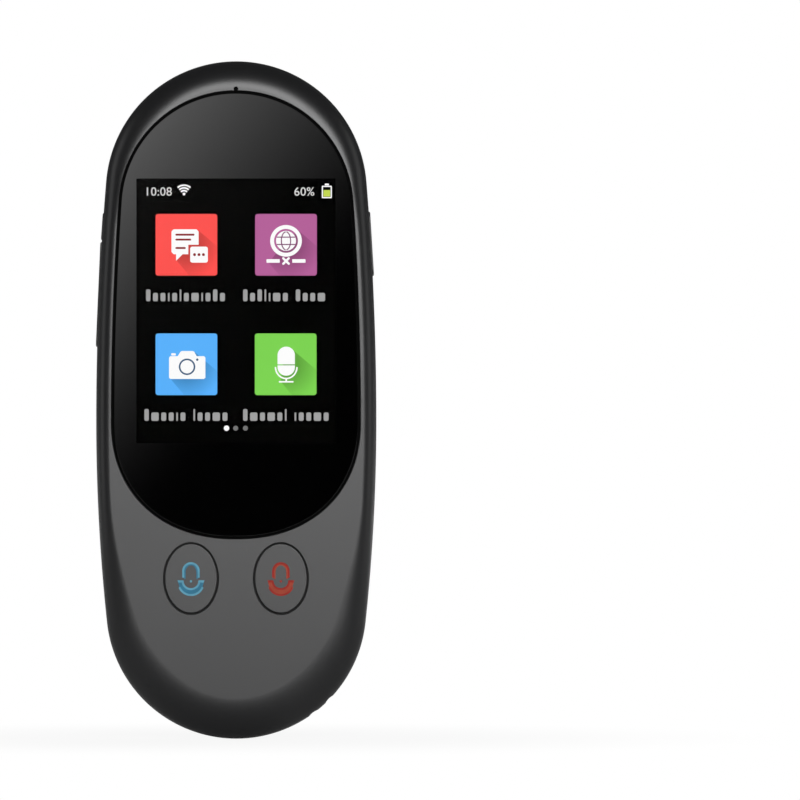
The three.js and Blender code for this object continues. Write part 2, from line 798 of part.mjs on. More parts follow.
function frontCase() {
  const outer = frontSkin();
  const eyeBody = eyeBlock(0, frontY, bandBackY).intersect(outer);
  const ribShape = panelShape(looseGap + panelRibWall);
  const ribTop = panelFrontY + panelThickness;
  const ribInside = panelShape(looseGap);
  const panelRib = extruded(ribShape, floorY - fitGap, ribTop, hiddenCornerSteps)
    .subtract(extruded(ribInside, floorY - cutOverrun, ribTop + cutOverrun, hiddenCornerSteps))
    .intersect(outer);
  const recess = prism(glassStations(), 0, frontY - cutOverrun, shelfY);
  const screenWindow = extruded(windowShape(0), frontY - cutOverrun, floorY + cutOverrun);
  const keyHole = extruded(
    ellipse(talkKeyWidth / 2 + looseGap, talkKeyHeight / 2 + looseGap),
    frontY - cutOverrun,
    floorY + cutOverrun,
    roundSteps / 2,
  );
  const keyHoles = talkKeyPlaces.map((x) => keyHole.translate(x, 0, talkKeyZ));
  const micHole = rod(micHoleRadius, frontY - cutOverrun, floorY + cutOverrun, grilleHoleSides * 2);
  const socketHole = socketBar(socketShape(looseGap), -halfLength - cutOverrun, socketTopZ);
  const cuts = joined([
    recess,
    screenWindow,
    ...keyHoles,
    micHole.translate(0, 0, micZ),
    socketHole,
    eyeTunnel(),
    eyeScoops(),
    ...sideKeys.map(sideKeySlot),
    ...hookFrames().map((frame) => placedBy(hookPocket(), frame)),
  ]);
  const shell = outer.subtract(frontCavity());
  return joined([shell, eyeBody, panelRib, ...bossPlaces.map(boss)]).subtract(cuts);
}

// Through-holes of the grille: rings of holes that shrink outwards, one hole straight up.
function grilleHoles() {
  const holes = [];
  const lastRing = grilleRingShares.length - 1;
  grilleRingShares.forEach((ringShare, ring) => {
    const ringRadius = grilleRadius * ringShare;
    const share = ring / lastRing;
    const radius = THREE.MathUtils.lerp(grilleInnerHoleRadius, grilleOuterHoleRadius, share);
    const hole = rod(radius, ceilingY - cutOverrun, backY + cutOverrun, grilleHoleSides);
    for (let i = 0; i < grilleRingCounts[ring]; i += 1) {
      const angle = Math.PI * 2 * (i / grilleRingCounts[ring]);
      holes.push(hole.translate(ringRadius * Math.sin(angle), 0, grilleZ + ringRadius * Math.cos(angle)));
    }
  });
  return wasm.Manifold.union(holes);
}

function speakerRib() {
  const lowY = ceilingY - speakerRibHeight;
  const rib = rod(speakerRibRadius, lowY, ceilingY + fitGap, hiddenRoundSteps);
  const bore = rod(speakerRibRadius - speakerRibWall, lowY - cutOverrun, backY, hiddenRoundSteps);
  return rib.subtract(bore).translate(0, 0, grilleZ);
}

function rearCover() {
  const shell = rearSkin().subtract(rearCavity());
  const hooks = hookFrames().map((frame) => placedBy(hook(), frame));
  const cameraHole = rod(cameraHoleRadius, ceilingY - cutOverrun, backY + cutOverrun, roundSteps);
  return joined([shell, speakerRib(), ...hooks])
    .subtract(joined([grilleHoles(), cameraHole.translate(0, 0, cameraZ), eyeScoops()]));
}

function screenGlass() {
  return prism(glassStations(), glassGap, frontY, glassBackY);
}

function glassTapeFrame() {
  const fromY = glassBackY + fitGap / 2;
  const sheet = prism(glassStations(), glassGap + looseGap, fromY, fromY + glassTape);
  const inside = windowShape(looseGap);
  return sheet.subtract(extruded(inside, fromY - cutOverrun, fromY + cutOverrun, hiddenCornerSteps));
}

function panelGasketFrame() {
  const fromY = floorY + fitGap / 2;
  const toY = fromY + panelGasket;
  const sheet = extruded(panelShape(0), fromY, toY, hiddenCornerSteps);
  const inside = windowShape(looseGap);
  return sheet.subtract(extruded(inside, fromY - cutOverrun, toY + cutOverrun, hiddenCornerSteps));
}

// The liquid-crystal panel and the backlight behind it have one outline.
function panelSheet(fromY, thickness) {
  return extruded(panelShape(0), fromY, fromY + thickness, hiddenCornerSteps);
}

// Ribbon that leaves the lower edge of the backlight and steps down to the board.
function screenFlex() {
  const startY = backlightBackY - screenFlexThickness * 2;
  const endY = boardFrontY - solderGap - screenFlexThickness;
  const startZ = panelBottomZ - fitGap;
  const bendZ = startZ - screenFlexLength / 3;
  const endZ = startZ - screenFlexLength;
  const stepZ = bendZ - (endY - startY);
  const shape = new THREE.Shape();
  shape.moveTo(startZ, startY);
  shape.lineTo(bendZ, startY);
  shape.lineTo(stepZ, endY);
  shape.lineTo(endZ, endY);
  shape.lineTo(endZ, endY + screenFlexThickness);
  shape.lineTo(stepZ, endY + screenFlexThickness);
  shape.lineTo(bendZ, startY + screenFlexThickness);
  shape.lineTo(startZ, startY + screenFlexThickness);
  const geometry = new THREE.ExtrudeGeometry(shape, { depth: screenFlexWidth, bevelEnabled: false });
  const axes = new THREE.Matrix4().makeBasis(
    new THREE.Vector3(0, 0, 1),
    new THREE.Vector3(0, 1, 0),
    new THREE.Vector3(-1, 0, 0),
  );
  return toSolid(geometry.applyMatrix4(axes).translate(screenFlexWidth / 2, 0, 0));
}

const talkKeyPlaces = [-talkKeySpacing / 2, talkKeySpacing / 2];

// Oval key with a softened top edge and a retaining flange behind the face.
function talkKey() {
  const halfX = talkKeyWidth / 2;
  const halfZ = talkKeyHeight / 2;
  const backOfKey = talkKeyBackY;
  const geometry = new THREE.ExtrudeGeometry(ellipse(halfX - talkKeyEdge, halfZ - talkKeyEdge), {
    depth: backOfKey - frontY - talkKeyEdge,
    bevelThickness: talkKeyEdge,
    bevelSize: talkKeyEdge,
    bevelSegments: 1,
    curveSegments: roundSteps / 2,
  });
  const plunger = toSolid(geometry.rotateX(Math.PI / 2).translate(0, backOfKey, 0));
  const trimmed = plunger.subtract(block(-talkKeyHeight, talkKeyHeight, backOfKey, backOfKey + cutOverrun,
    -talkKeyHeight, talkKeyHeight));
  const flange = extruded(
    ellipse(halfX + talkKeyFlange, halfZ + talkKeyFlange),
    backOfKey - talkKeyFlangeThickness,
    backOfKey,
    roundSteps / 2,
  );
  return trimmed.add(flange);
}

// Rubber tray that stands on the board under both talk keys, with a nib above each dome.
function talkPad() {
  const topY = talkKeyBackY + talkKeyTravel + fitGap;
  const underY = topY + talkPadThickness;
  const baseY = boardFrontY - fitGap;
  const width = talkPadHalfWidth * 2;
  const height = talkPadHalfHeight * 2;
  const outer = extruded(centredBar(width, height, talkPadCorner), topY, baseY, hiddenCornerSteps);
  const inner = extruded(
    centredBar(width - 2 * talkPadWall, height - 2 * talkPadWall, talkPadCorner - talkPadWall),
    underY,
    baseY + cutOverrun,
    hiddenCornerSteps,
  );
  const nib = rod(talkNibRadius, underY - fitGap, boardFrontY - solderGap - talkDomeHeight - fitGap);
  const tray = outer.subtract(inner);
  return joined([tray, ...talkKeyPlaces.map((x) => nib.translate(x, 0, 0))]).translate(0, 0, talkKeyZ);
}

function talkDome() {
  const baseY = boardFrontY - solderGap;
  const topY = baseY - talkDomeHeight;
  return turned([[0, topY], [talkDomeRadius / 2, topY], [talkDomeRadius, baseY], [0, baseY]],
    smallRoundSteps);
}

function mainBoard() {
  const sheet = prism(bodyStations, sideWall + boardEdgeGap, boardFrontY, boardBackY);
  const screwHole = rod(screwRadius + looseGap, boardFrontY - cutOverrun, boardBackY + cutOverrun);
  const socketNotch = block(-socketWidth / 2 - looseGap, socketWidth / 2 + looseGap,
    boardFrontY - cutOverrun, boardBackY + cutOverrun, -halfLength, socketTopZ + looseGap);
  const cuts = joined([
    socketNotch,
    eyeBlock(looseGap, boardFrontY - cutOverrun, boardBackY + cutOverrun),
    ...bossPlaces.map(({ x, z }) => screwHole.translate(x, 0, z)),
    ...sideKeys.map(boardKeyNotchCut),
  ]);
  return sheet.subtract(cuts);
}

function boardScrew() {
  const headY = boardBackY + solderGap;
  const head = rod(screwHeadRadius, headY, headY + screwHeadHeight);
  return head.add(rod(screwRadius, headY - screwLength, headY + fitGap, smallRoundSteps / 2));
}

// Open-bottomed folded can over the board.
function shieldCan(width, length) {
  const shape = centredBar(width, length, canWall);
  const inside = centredBar(width - 2 * canWall, length - 2 * canWall, 0);
  const topY = partsY + canHeight;
  return extruded(shape, partsY, topY, 1)
    .subtract(extruded(inside, partsY - cutOverrun, topY - canWall, 1));
}

const canFromX = cameraBodyWidth / 2 + canGap;
const canWidth = halfWidth - canSideInset - canFromX;
const canCentreX = canFromX + canWidth / 2;
const chargerCanZ = socketTopZ + chargerAboveSocket + chargerCanLength / 2;
const batteryFrontY = partsY + batteryTape + solderGap;
const batteryBackY = batteryFrontY + batteryThickness;
const batteryTopZ = cameraZ - canLength / 2 - batteryBelowCans;
const batteryBottomZ = chargerCanZ + chargerCanLength / 2 + batteryAboveCharger;
const batteryLength = batteryTopZ - batteryBottomZ;
const batteryWidth = 2 * (middleBossX - screwHeadRadius - batterySideGap);
const batteryZ = (batteryTopZ + batteryBottomZ) / 2;

function batteryCell() {
  const shape = centredBar(batteryWidth, batteryLength, batteryCorner);
  return extruded(shape, batteryFrontY, batteryBackY, hiddenCornerSteps);
}

function batteryTapeSheet() {
  const width = batteryWidth - 2 * batteryCorner;
  const length = batteryLength - 2 * batteryCorner;
  return extruded(centredBar(width, length, 0), partsY, partsY + batteryTape);
}

function batteryPad() {
  const shape = centredBar(batteryPadWidth, batteryPadLength, 0);
  const fromY = batteryBackY + solderGap;
  return extruded(shape, fromY, fromY + batteryPadThickness);
}

const meshFrontY = ceilingY - solderGap - dustMeshThickness;
const gasketBackY = ceilingY - solderGap;
const speakerBackY = gasketBackY - speakerGasket - solderGap;
const speakerFrontY = speakerBackY - speakerHeight;
const coneRimY = speakerBackY - coneWall;
const coneNeckY = coneRimY - coneDepth;

function speakerFrame() {
  const outer = speakerRadius;
  const bore = magnetRadius + fitGap;
  const rimY = speakerBackY - speakerRimHeight;
  const rimInner = outer - speakerFrameWidth;
  const neck = bore + speakerWall;
  const footY = speakerFrontY + speakerWall;
  return turned([
    [bore, speakerFrontY],
    [neck, speakerFrontY],
    [neck, footY],
    [outer, rimY],
    [outer, speakerBackY],
    [rimInner, speakerBackY],
    [rimInner, rimY + speakerWall / 2],
    [bore, footY + speakerWall],
  ]);
}

function speakerMagnet() {
  return rod(magnetRadius, speakerFrontY, coneNeckY - magnetGap, hiddenRoundSteps);
}

// Paper cone with a dome over the coil, held by its rim inside the frame.
function speakerCone() {
  const rim = speakerRadius - speakerFrameWidth - fitGap;
  const domeY = coneNeckY + coneDepth / 2;
  return turned([
    [0, domeY],
    [coneDomeRadius / 2, domeY - coneWall],
    [coneDomeRadius, coneNeckY],
    [rim - speakerFrameWidth, coneRimY],
    [rim, coneRimY],
    [rim, coneRimY + coneWall],
    [rim - speakerFrameWidth, coneRimY + coneWall],
    [coneDomeRadius, coneNeckY + coneWall],
    [coneDomeRadius / 2, domeY],
    [0, domeY + coneWall],
  ]);
}

function speakerGasketRing() {
  const inner = speakerRadius - speakerFrameWidth;
  const outer = speakerRadius - speakerGasketInset;
  const lowY = speakerBackY + solderGap;
  return turned([[inner, lowY], [outer, lowY], [outer, gasketBackY], [inner, gasketBackY]]);
}

function dustMesh() {
  return rod(speakerRadius - speakerFrameWidth - fitGap, meshFrontY, ceilingY - solderGap,
    hiddenRoundSteps);
}

// Bright trim ring seated in the rear cover, with a flange behind the wall.
const ringFlangeY = ceilingY - fitGap;

function cameraRing() {
  const topY = backY - cameraRingRecess;
  const crownY = topY - cameraRingCrown;
  const middle = (cameraRingRadius + cameraRingInner) / 2;
  const flangeFrontY = ringFlangeY - cameraRingFlangeHeight;
  return turned([
    [cameraRingInner, flangeFrontY],
    [cameraRingRadius + cameraRingFlange, flangeFrontY],
    [cameraRingRadius + cameraRingFlange, ringFlangeY],
    [cameraRingRadius, ringFlangeY],
    [cameraRingRadius, crownY],
    [middle + cameraRingCrown, topY - cameraRingCrown / 4],
    [middle, topY],
    [middle - cameraRingCrown, topY - cameraRingCrown / 4],
    [cameraRingInner, crownY],
  ], roundSteps);
}

const hoodTopY = backY - cameraRingRecess - cameraRingCrown;
const hoodLowY = hoodTopY - hoodDepth;

// Black funnel inside the ring that narrows to the lens barrel.
function cameraHood() {
  const outer = cameraRingInner - fitGap;
  return turned([
    [hoodInnerRadius, hoodLowY - cameraRingCrown],
    [outer, hoodLowY - cameraRingCrown],
    [outer, hoodTopY],
    [outer - cameraRingCrown, hoodTopY],
    [hoodInnerRadius, hoodLowY],
  ], roundSteps);
}

const cameraBodyBackY = partsY + cameraBodyHeight;

function cameraBody() {
  const plate = extruded(centredBar(cameraBodyWidth, cameraBodyWidth, canWall), partsY, cameraBodyBackY, 1);
  const tower = rod(barrelRadius - fitGap, cameraBodyBackY - fitGap, hoodLowY - barrelDepth - fitGap,
    hiddenRoundSteps);
  return plate.add(tower);
}

function cameraBarrel() {
  const topY = hoodLowY - fitGap;
  const lowY = hoodLowY - barrelDepth;
  return turned([[barrelBore, lowY], [barrelRadius, lowY], [barrelRadius, topY], [barrelBore, topY]]);
}

function cameraLens() {
  const lowY = hoodLowY - barrelDepth;
  const edgeY = hoodLowY - fitGap - lensBelowBarrel - lensCrown;
  const crown = lensProfileShares.map(([out, up]) => [lensRadius * out, edgeY + lensCrown * up]);
  return turned([[0, lowY], [lensRadius, lowY], ...crown]);
}

function micCapsule() {
  const backOfMic = boardFrontY - solderGap;
  return extruded(centredBar(micWidth, micLength, 0), backOfMic - micHeight, backOfMic);
}

function micBoot() {
  const lowY = floorY + fitGap / 2;
  const highY = boardFrontY - solderGap - micHeight - fitGap;
  const bore = micHoleRadius + fitGap;
  return turned([[bore, lowY], [micBootRadius, lowY], [micBootRadius, highY], [bore, highY]],
    smallRoundSteps);
}

// Folded metal shell of the socket, closed at its inner end.
function socketShell() {
  const inside = socketBar(socketShape(-socketWall), socketBottomZ - cutOverrun, socketTopZ - socketWall);
  return socketBar(socketShape(0), socketBottomZ, socketTopZ).subtract(inside);
}

function socketTongue() {
  const backZ = socketTopZ - socketWall - fitGap;
  const baseZ = backZ - socketInsulator;
  const base = socketBar(socketShape(-socketWall - fitGap), baseZ, backZ);
  const tongue = centredBar(socketTongueWidth, socketTongueThickness, 0);
  return base.add(socketBar(tongue, baseZ - socketTongueLength, baseZ + fitGap));
}

function aerialFilm() {
  const shape = centredBar(aerialWidth, aerialLength, 0);
  return extruded(shape, ceilingY - solderGap - aerialThickness, ceilingY - solderGap);
}

const translator = new THREE.Group();

function addPiece(name, solid, material, parent = translator) {
  const mesh = new THREE.Mesh(toGeometry(solid), material);
  mesh.name = name;
  parent.add(mesh);
  return mesh;
}

function addPieceAt(name, solid, material, x, z) {
  addPiece(name, solid, material).position.set(x, 0, z);
}

addPiece('front_case', frontCase(), shellPlastic);
addPiece('rear_cover', rearCover(), shellPlastic);

addPiece('screen_glass', screenGlass(), blackGlass);
addPiece('glass_tape', glassTapeFrame(), foam);
addPiece('screen_gasket', panelGasketFrame(), foam);
addPiece('screen_panel', panelSheet(panelFrontY, panelThickness), screenPanel);
addPiece('backlight_unit', panelSheet(backlightFrontY, backlightThickness), whitePlastic);
addPiece('screen_flex', screenFlex(), amberFilm);

['left', 'right'].forEach((hand, i) => {
  addPieceAt(`talk_key_${hand}`, talkKey(), shellPlastic, talkKeyPlaces[i], talkKeyZ);
  addPieceAt(`talk_switch_${hand}`, talkDome(), steel, talkKeyPlaces[i], talkKeyZ);
});
addPiece('talk_key_pad', talkPad(), rubber);

sideKeys.forEach((key) => {
  const frame = sideFrame(key.middle, key.side);
  translator.add(frame);
  addPiece(`${key.name}_key`, sideKey(key), shellPlastic, frame);
  const pair = key.name === 'volume';
  const places = pair ? [-1, 1].map((end) => end * key.half * volumeSwitchShare) : [0];
  places.forEach((z, i) => {
    const name = pair ? `volume_${['up', 'down'][i]}_switch` : `${key.name}_switch`;
    addPiece(name, sideSwitch(), steel, frame).position.z = z;
  });
});

addPiece('main_board', mainBoard(), circuitBoard);
bossPlaces.forEach(({ x, z }, i) => addPieceAt(`board_screw_${i + 1}`, boardScrew(), steel, x, z));
addPieceAt('processor_shield', shieldCan(canWidth, canLength), steel, -canCentreX, cameraZ);
addPieceAt('radio_shield', shieldCan(canWidth, canLength), steel, canCentreX, cameraZ);
addPieceAt('charger_shield', shieldCan(chargerCanWidth, chargerCanLength), steel, 0, chargerCanZ);

addPieceAt('battery', batteryCell(), cellFoil, 0, batteryZ);
addPieceAt('battery_tape', batteryTapeSheet(), foam, 0, batteryZ);
addPieceAt('battery_pad', batteryPad(), foam, 0, batteryZ);

addPieceAt('speaker_frame', speakerFrame(), blackPlastic, 0, grilleZ);
addPieceAt('speaker_magnet', speakerMagnet(), steel, 0, grilleZ);
addPieceAt('speaker_cone', speakerCone(), blackPlastic, 0, grilleZ);
addPieceAt('speaker_gasket', speakerGasketRing(), foam, 0, grilleZ);
addPieceAt('dust_mesh', dustMesh(), blackPlastic, 0, grilleZ);

addPieceAt('camera_ring', cameraRing(), chrome, 0, cameraZ);
addPieceAt('camera_hood', cameraHood(), blackPlastic, 0, cameraZ);
addPieceAt('camera_barrel', cameraBarrel(), greyPlastic, 0, cameraZ);
addPieceAt('camera_lens', cameraLens(), lensGlass, 0, cameraZ);
addPieceAt('camera_body', cameraBody(), blackPlastic, 0, cameraZ);

addPieceAt('microphone', micCapsule(), steel, 0, micZ);
addPieceAt('microphone_boot', micBoot(), rubber, 0, micZ);
addPiece('socket_shell', socketShell(), steel);
addPiece('socket_tongue', socketTongue(), blackPlastic);
addPieceAt('aerial_film', aerialFilm(), copper, 0, -halfLength + aerialAboveBottom);

export default translator;
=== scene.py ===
import math

import bmesh
import bpy
from mathutils import Matrix, Vector


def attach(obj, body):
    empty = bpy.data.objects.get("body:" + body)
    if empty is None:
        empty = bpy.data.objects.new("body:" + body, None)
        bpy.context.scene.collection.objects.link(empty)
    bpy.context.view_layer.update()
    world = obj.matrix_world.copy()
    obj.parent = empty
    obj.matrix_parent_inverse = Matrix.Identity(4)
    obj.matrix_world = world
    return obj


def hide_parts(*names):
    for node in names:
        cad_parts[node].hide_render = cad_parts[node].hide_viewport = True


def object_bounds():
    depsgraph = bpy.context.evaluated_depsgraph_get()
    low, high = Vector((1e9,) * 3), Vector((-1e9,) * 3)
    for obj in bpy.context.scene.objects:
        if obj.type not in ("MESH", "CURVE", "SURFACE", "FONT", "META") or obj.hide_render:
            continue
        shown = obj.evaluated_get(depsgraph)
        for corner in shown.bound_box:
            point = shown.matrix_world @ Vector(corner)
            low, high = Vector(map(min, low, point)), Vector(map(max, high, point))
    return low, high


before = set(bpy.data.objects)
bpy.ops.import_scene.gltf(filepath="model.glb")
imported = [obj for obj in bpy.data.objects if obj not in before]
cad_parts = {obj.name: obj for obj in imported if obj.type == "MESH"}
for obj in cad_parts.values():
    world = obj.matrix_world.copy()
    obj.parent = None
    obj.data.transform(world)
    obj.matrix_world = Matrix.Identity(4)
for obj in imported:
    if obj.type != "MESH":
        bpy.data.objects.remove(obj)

cad_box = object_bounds()
scene = bpy.context.scene
MM = 0.001

# Camera: the photograph looks straight at the screen from far away, and the body stands left of
# the middle of the picture. One photograph pixel covers 0.1848 mm of the body.
pixel = 0.1848 * MM
picture_pixels = 800
body_column = 236.5
camera_distance = 2.0
view_end = 30

lens = bpy.data.cameras.new("studio_camera")
lens.sensor_width = 36
lens.lens = lens.sensor_width * camera_distance / (picture_pixels * pixel)
lens.clip_end = view_end
camera = bpy.data.objects.new("studio_camera", lens)
camera.location = ((picture_pixels / 2 - body_column) * pixel, -camera_distance, 0)
camera.rotation_euler = (math.pi / 2, 0, 0)
scene.collection.objects.link(camera)
scene.camera = camera

scene.view_settings.view_transform = "Standard"

# Studio backdrop: the camera sees pure white all round. What shines sees a white card only behind
# the body, and a dim grey room elsewhere, as a dark object is photographed.
white_light = (1, 1, 1, 1)
room_light, room_strength = (0.97, 0.98, 1, 1), 0.09
card_edge, card_full = 0.99, 0.998


def node(tree, kind, *feeds, operation=None, **inputs):
    """Adds a shader node. Feeds go to its sockets in order and the others to sockets by name. The
    output of another node is linked, and anything else is set as a value."""
    made = tree.nodes.new("ShaderNode" + kind)
    if operation:
        made.operation = operation
    named = [(name.replace("_", " "), value) for name, value in inputs.items()]
    for socket, value in [*enumerate(feeds), *named]:
        if isinstance(value, bpy.types.NodeSocket):
            tree.links.new(value, made.inputs[socket])
        else:
            made.inputs[socket].default_value = value
    return made


def combined(tree, operation, first, second):
    return node(tree, "Math", first, second, operation=operation).outputs[0]


def rise(tree, value, low, high, low_result=0, high_result=1):
    """A result that runs softly from one end to the other between two limits of a value."""
    made = node(tree, "MapRange", value, low, high, low_result, high_result)
    made.interpolation_type = "SMOOTHSTEP"
    return made.outputs["Result"]


world = bpy.data.worlds.new("studio_world")
world.use_nodes = True
scene.world = world
tree = world.node_tree
tree.nodes.clear()
room = node(tree, "Background", room_light, room_strength)
white = node(tree, "Background", white_light, 1)
ray = node(tree, "LightPath").outputs
direction = node(tree, "SeparateXYZ", node(tree, "TexCoord").outputs["Generated"]).outputs
card = rise(tree, direction["Y"], card_edge, card_full)
in_gloss = combined(tree, "MULTIPLY", ray["Is Glossy Ray"], card)
straight = combined(tree, "MAXIMUM", ray["Is Camera Ray"], ray["Is Transmission Ray"])
seen = combined(tree, "MAXIMUM", straight, in_gloss)
mix = node(tree, "MixShader", seen, room.outputs[0], white.outputs[0])
node(tree, "OutputWorld", mix.outputs[0])

# Floor: a plain pale sheet under the lower end of the body, which keeps a soft shadow near the
# body and turns into the white backdrop further out.
floor_half = 1.5
floor_grey = (0.6, 0.6, 0.6, 1)
near_glow = 0.9
tone_start, tone_end = 0.02, 0.11
mirror_start, mirror_end = 0.7, 1.1

sheet = bpy.data.materials.new("pale_floor")
sheet.use_nodes = True
tree = sheet.node_tree
tree.nodes.clear()
matt = node(tree, "BsdfDiffuse", floor_grey)
glow = node(tree, "Emission", white_light)
ray = node(tree, "LightPath").outputs
place = node(tree, "TexCoord").outputs["Object"]
distance = node(tree, "VectorMath", place, operation="LENGTH").outputs["Value"]
fade = rise(tree, distance, tone_start, tone_end, near_glow, 1)
for_camera = combined(tree, "MULTIPLY", ray["Is Camera Ray"], fade)
gloss_or_glass = combined(tree, "MAXIMUM", ray["Is Glossy Ray"], ray["Is Transmission Ray"])
sides = node(tree, "SeparateXYZ", place).outputs
behind = rise(tree, sides["Y"], mirror_start, mirror_end)
for_gloss = combined(tree, "MULTIPLY", gloss_or_glass, behind)
share = combined(tree, "MAXIMUM", for_camera, for_gloss)
mix = node(tree, "MixShader", share, matt.outputs[0], glow.outputs[0])
node(tree, "OutputMaterial", mix.outputs[0])

floor_mesh = bpy.data.meshes.new("floor")
floor_mesh.from_pydata(
    [(-floor_half, -floor_half, 0), (floor_half, -floor_half, 0),
     (floor_half, floor_half, 0), (-floor_half, floor_half, 0)], [], [(0, 1, 2, 3)])
floor_mesh.materials.append(sheet)
floor = bpy.data.objects.new("floor", floor_mesh)
floor.location.z = cad_box[0].z
scene.collection.objects.link(floor)


# Softboxes: a large soft lamp in front and above, a strip at each side, and two lamps behind the
# body, so that every side is lit at a plain level. The camera doesn't see them.
def softbox(name, place, width, height, glare, lean=0):
    """A rectangular lamp of a given brightness, turned to the body and leant by some degrees. Its
    face gives one quarter of its watts per square metre."""
    data = bpy.data.lights.new(name, "AREA")
    data.shape = "RECTANGLE"
    data.size, data.size_y = width, height
    data.energy = 4 * glare * width * height
    lamp = bpy.data.objects.new(name, data)
    lamp.location = place
    facing = (-Vector(place)).to_track_quat("-Z", "Y").to_matrix()
    lamp.rotation_euler = (facing @ Matrix.Rotation(math.radians(lean), 3, "Z")).to_euler()
    lamp.visible_camera = False
    scene.collection.objects.link(lamp)
    return lamp


front_lamps = [softbox("front_above", (0.11, -0.8, 0.2), width=0.66, height=0.34, glare=7.6)]
for side, strip_x in (("left", -0.75), ("right", 0.75)):
    softbox("strip_" + side, (strip_x, 0.02, 0), width=0.4, height=1.0, glare=0.6)
back_lamps = [
    softbox("back_left", (0.47, 0.802, 0.03), width=0.74, height=1.0, glare=5.2, lean=-18),
    softbox("back_right", (-0.614, 0.658, 0), width=0.18, height=1.2, glare=3.5, lean=-18)]

# Graded card just behind the camera: only what shines sees it, so the cover glass shows a soft
# glow that fades from its upper left corner.
card_left, card_right, card_low, card_high = -0.09, 0.04, -0.07, 0.13
card_behind_camera = 0.02
glow_slope = (-12.9, 0, 10.4)
glow_start = 0.357

graded = bpy.data.materials.new("graded_card")
graded.use_nodes = True
tree = graded.node_tree
tree.nodes.clear()
place = node(tree, "TexCoord").outputs["Object"]
slant = node(tree, "VectorMath", place, glow_slope, operation="DOT_PRODUCT").outputs["Value"]
above_zero = combined(tree, "MAXIMUM", combined(tree, "ADD", slant, -glow_start), 0)
glow = node(tree, "Emission", white_light, combined(tree, "POWER", above_zero, 2))
node(tree, "OutputMaterial", glow.outputs[0])

card_mesh = bpy.data.meshes.new("graded_card")
card_mesh.from_pydata(
    [(card_left, 0, card_low), (card_right, 0, card_low), (card_right, 0, card_high),
     (card_left, 0, card_high)], [], [(0, 1, 2, 3)])
card_mesh.materials.append(graded)
graded_card = bpy.data.objects.new("graded_card", card_mesh)
graded_card.location.y = -camera_distance - card_behind_camera
graded_card.visible_camera = graded_card.visible_diffuse = graded_card.visible_shadow = False
scene.collection.objects.link(graded_card)

# Housing: two halves moulded in dark grey plastic with a satin paint, snapped together at a fine
# seam. The outline is two end arcs joined by nearly straight sides, and both faces roll over.
half_width, half_length = 25.85, 62.5
top_radius, bottom_radius, waist_z = 24.1, 24.0, -3.9
front_y, back_y = -7.0, 7.0
band_front_y, band_back_y = -2.8, 1.4
side_wall, edge_break = 1.5, 0.1
upper_end, lower_end = (0.48, 0.92), (0.29, 0.93)
end_steps, side_steps = 40, 24


def arc(centre_x, centre_z, radius, start, end, steps):
    """Points of an arc as (x, z, outward x, outward z)."""
    turns = [start + (end - start) * i / steps for i in range(steps + 1)]
    return [(centre_x + radius * math.cos(a), centre_z + radius * math.sin(a),
             math.cos(a), math.sin(a)) for a in turns]


def end_quarter(half, end_z, radius, widest_z):
    """Right-hand quarter from the end of the outline down to its widest line."""
    arc_z = end_z - radius
    drop = arc_z - widest_z
    side_radius = (half ** 2 + drop ** 2 - radius ** 2) / (2 * (half - radius))
    side_x = half - side_radius
    tangent = math.atan2(drop, -side_x)
    end = arc(0, arc_z, radius, math.pi / 2, tangent, end_steps)
    return end + arc(side_x, widest_z, side_radius, tangent, 0, side_steps)[1:]


def upside_down(points):
    return [(x, -z, nx, -nz) for x, z, nx, nz in reversed(points)]


def both_sides(right):
    left = [(-x, z, -nx, nz) for x, z, nx, nz in reversed(right[1:-1])]
    return right + left


body_outline = both_sides(
    end_quarter(half_width, half_length, top_radius, waist_z)
    + upside_down(end_quarter(half_width, half_length, bottom_radius, -waist_z))[1:])


def smooth_ramp(value, low, high):
    t = min(1, max(0, (value - low) / (high - low)))
    return t * t * (3 - 2 * t)


def roll_width(z, middle, upper_extra, lower_extra):
    """Width of a face's roll at one height. It changes towards both ends of the body."""
    up = smooth_ramp(z / half_length, *upper_end)
    down = smooth_ramp(-z / half_length, *lower_end)
    return middle + upper_extra * up + lower_extra * down


def ring(outline, inset, y):
    """The outline moved inwards, at one depth. The inset is a number or depends on the height."""
    amount = inset if callable(inset) else lambda z: inset
    return [(x - nx * amount(z), y, z - nz * amount(z)) for x, z, nx, nz in outline]


def roll_rings(roll, band_y, depth, wall, steps):
    """Rings of a quarter-round roll from the side band to the flat face."""
    rings = []
    for i in range(steps + 1):
        turn = math.pi / 2 * i / steps
        rings.append(ring(body_outline,
                          lambda z: roll(z) - (roll(z) - wall) * math.cos(turn),
                          band_y + depth * math.sin(turn)))
    return rings


def rgba(colour):
    """Blender's four numbers for a colour of three, or for a grey of one."""
    return (*colour, 1) if isinstance(colour, tuple) else (colour, colour, colour, 1)


def mottled(tree, place, patches, detail, dark, light, start=0, end=1):
    """A colour that drifts between two tones in soft patches."""
    clouds = node(tree, "TexNoise", place, Scale=patches, Detail=detail)
    colours = node(tree, "ValToRGB", clouds.outputs["Fac"])
    low, high = colours.color_ramp.elements
    low.color, low.position = dark, start
    high.color, high.position = light, end
    return colours.outputs["Color"]


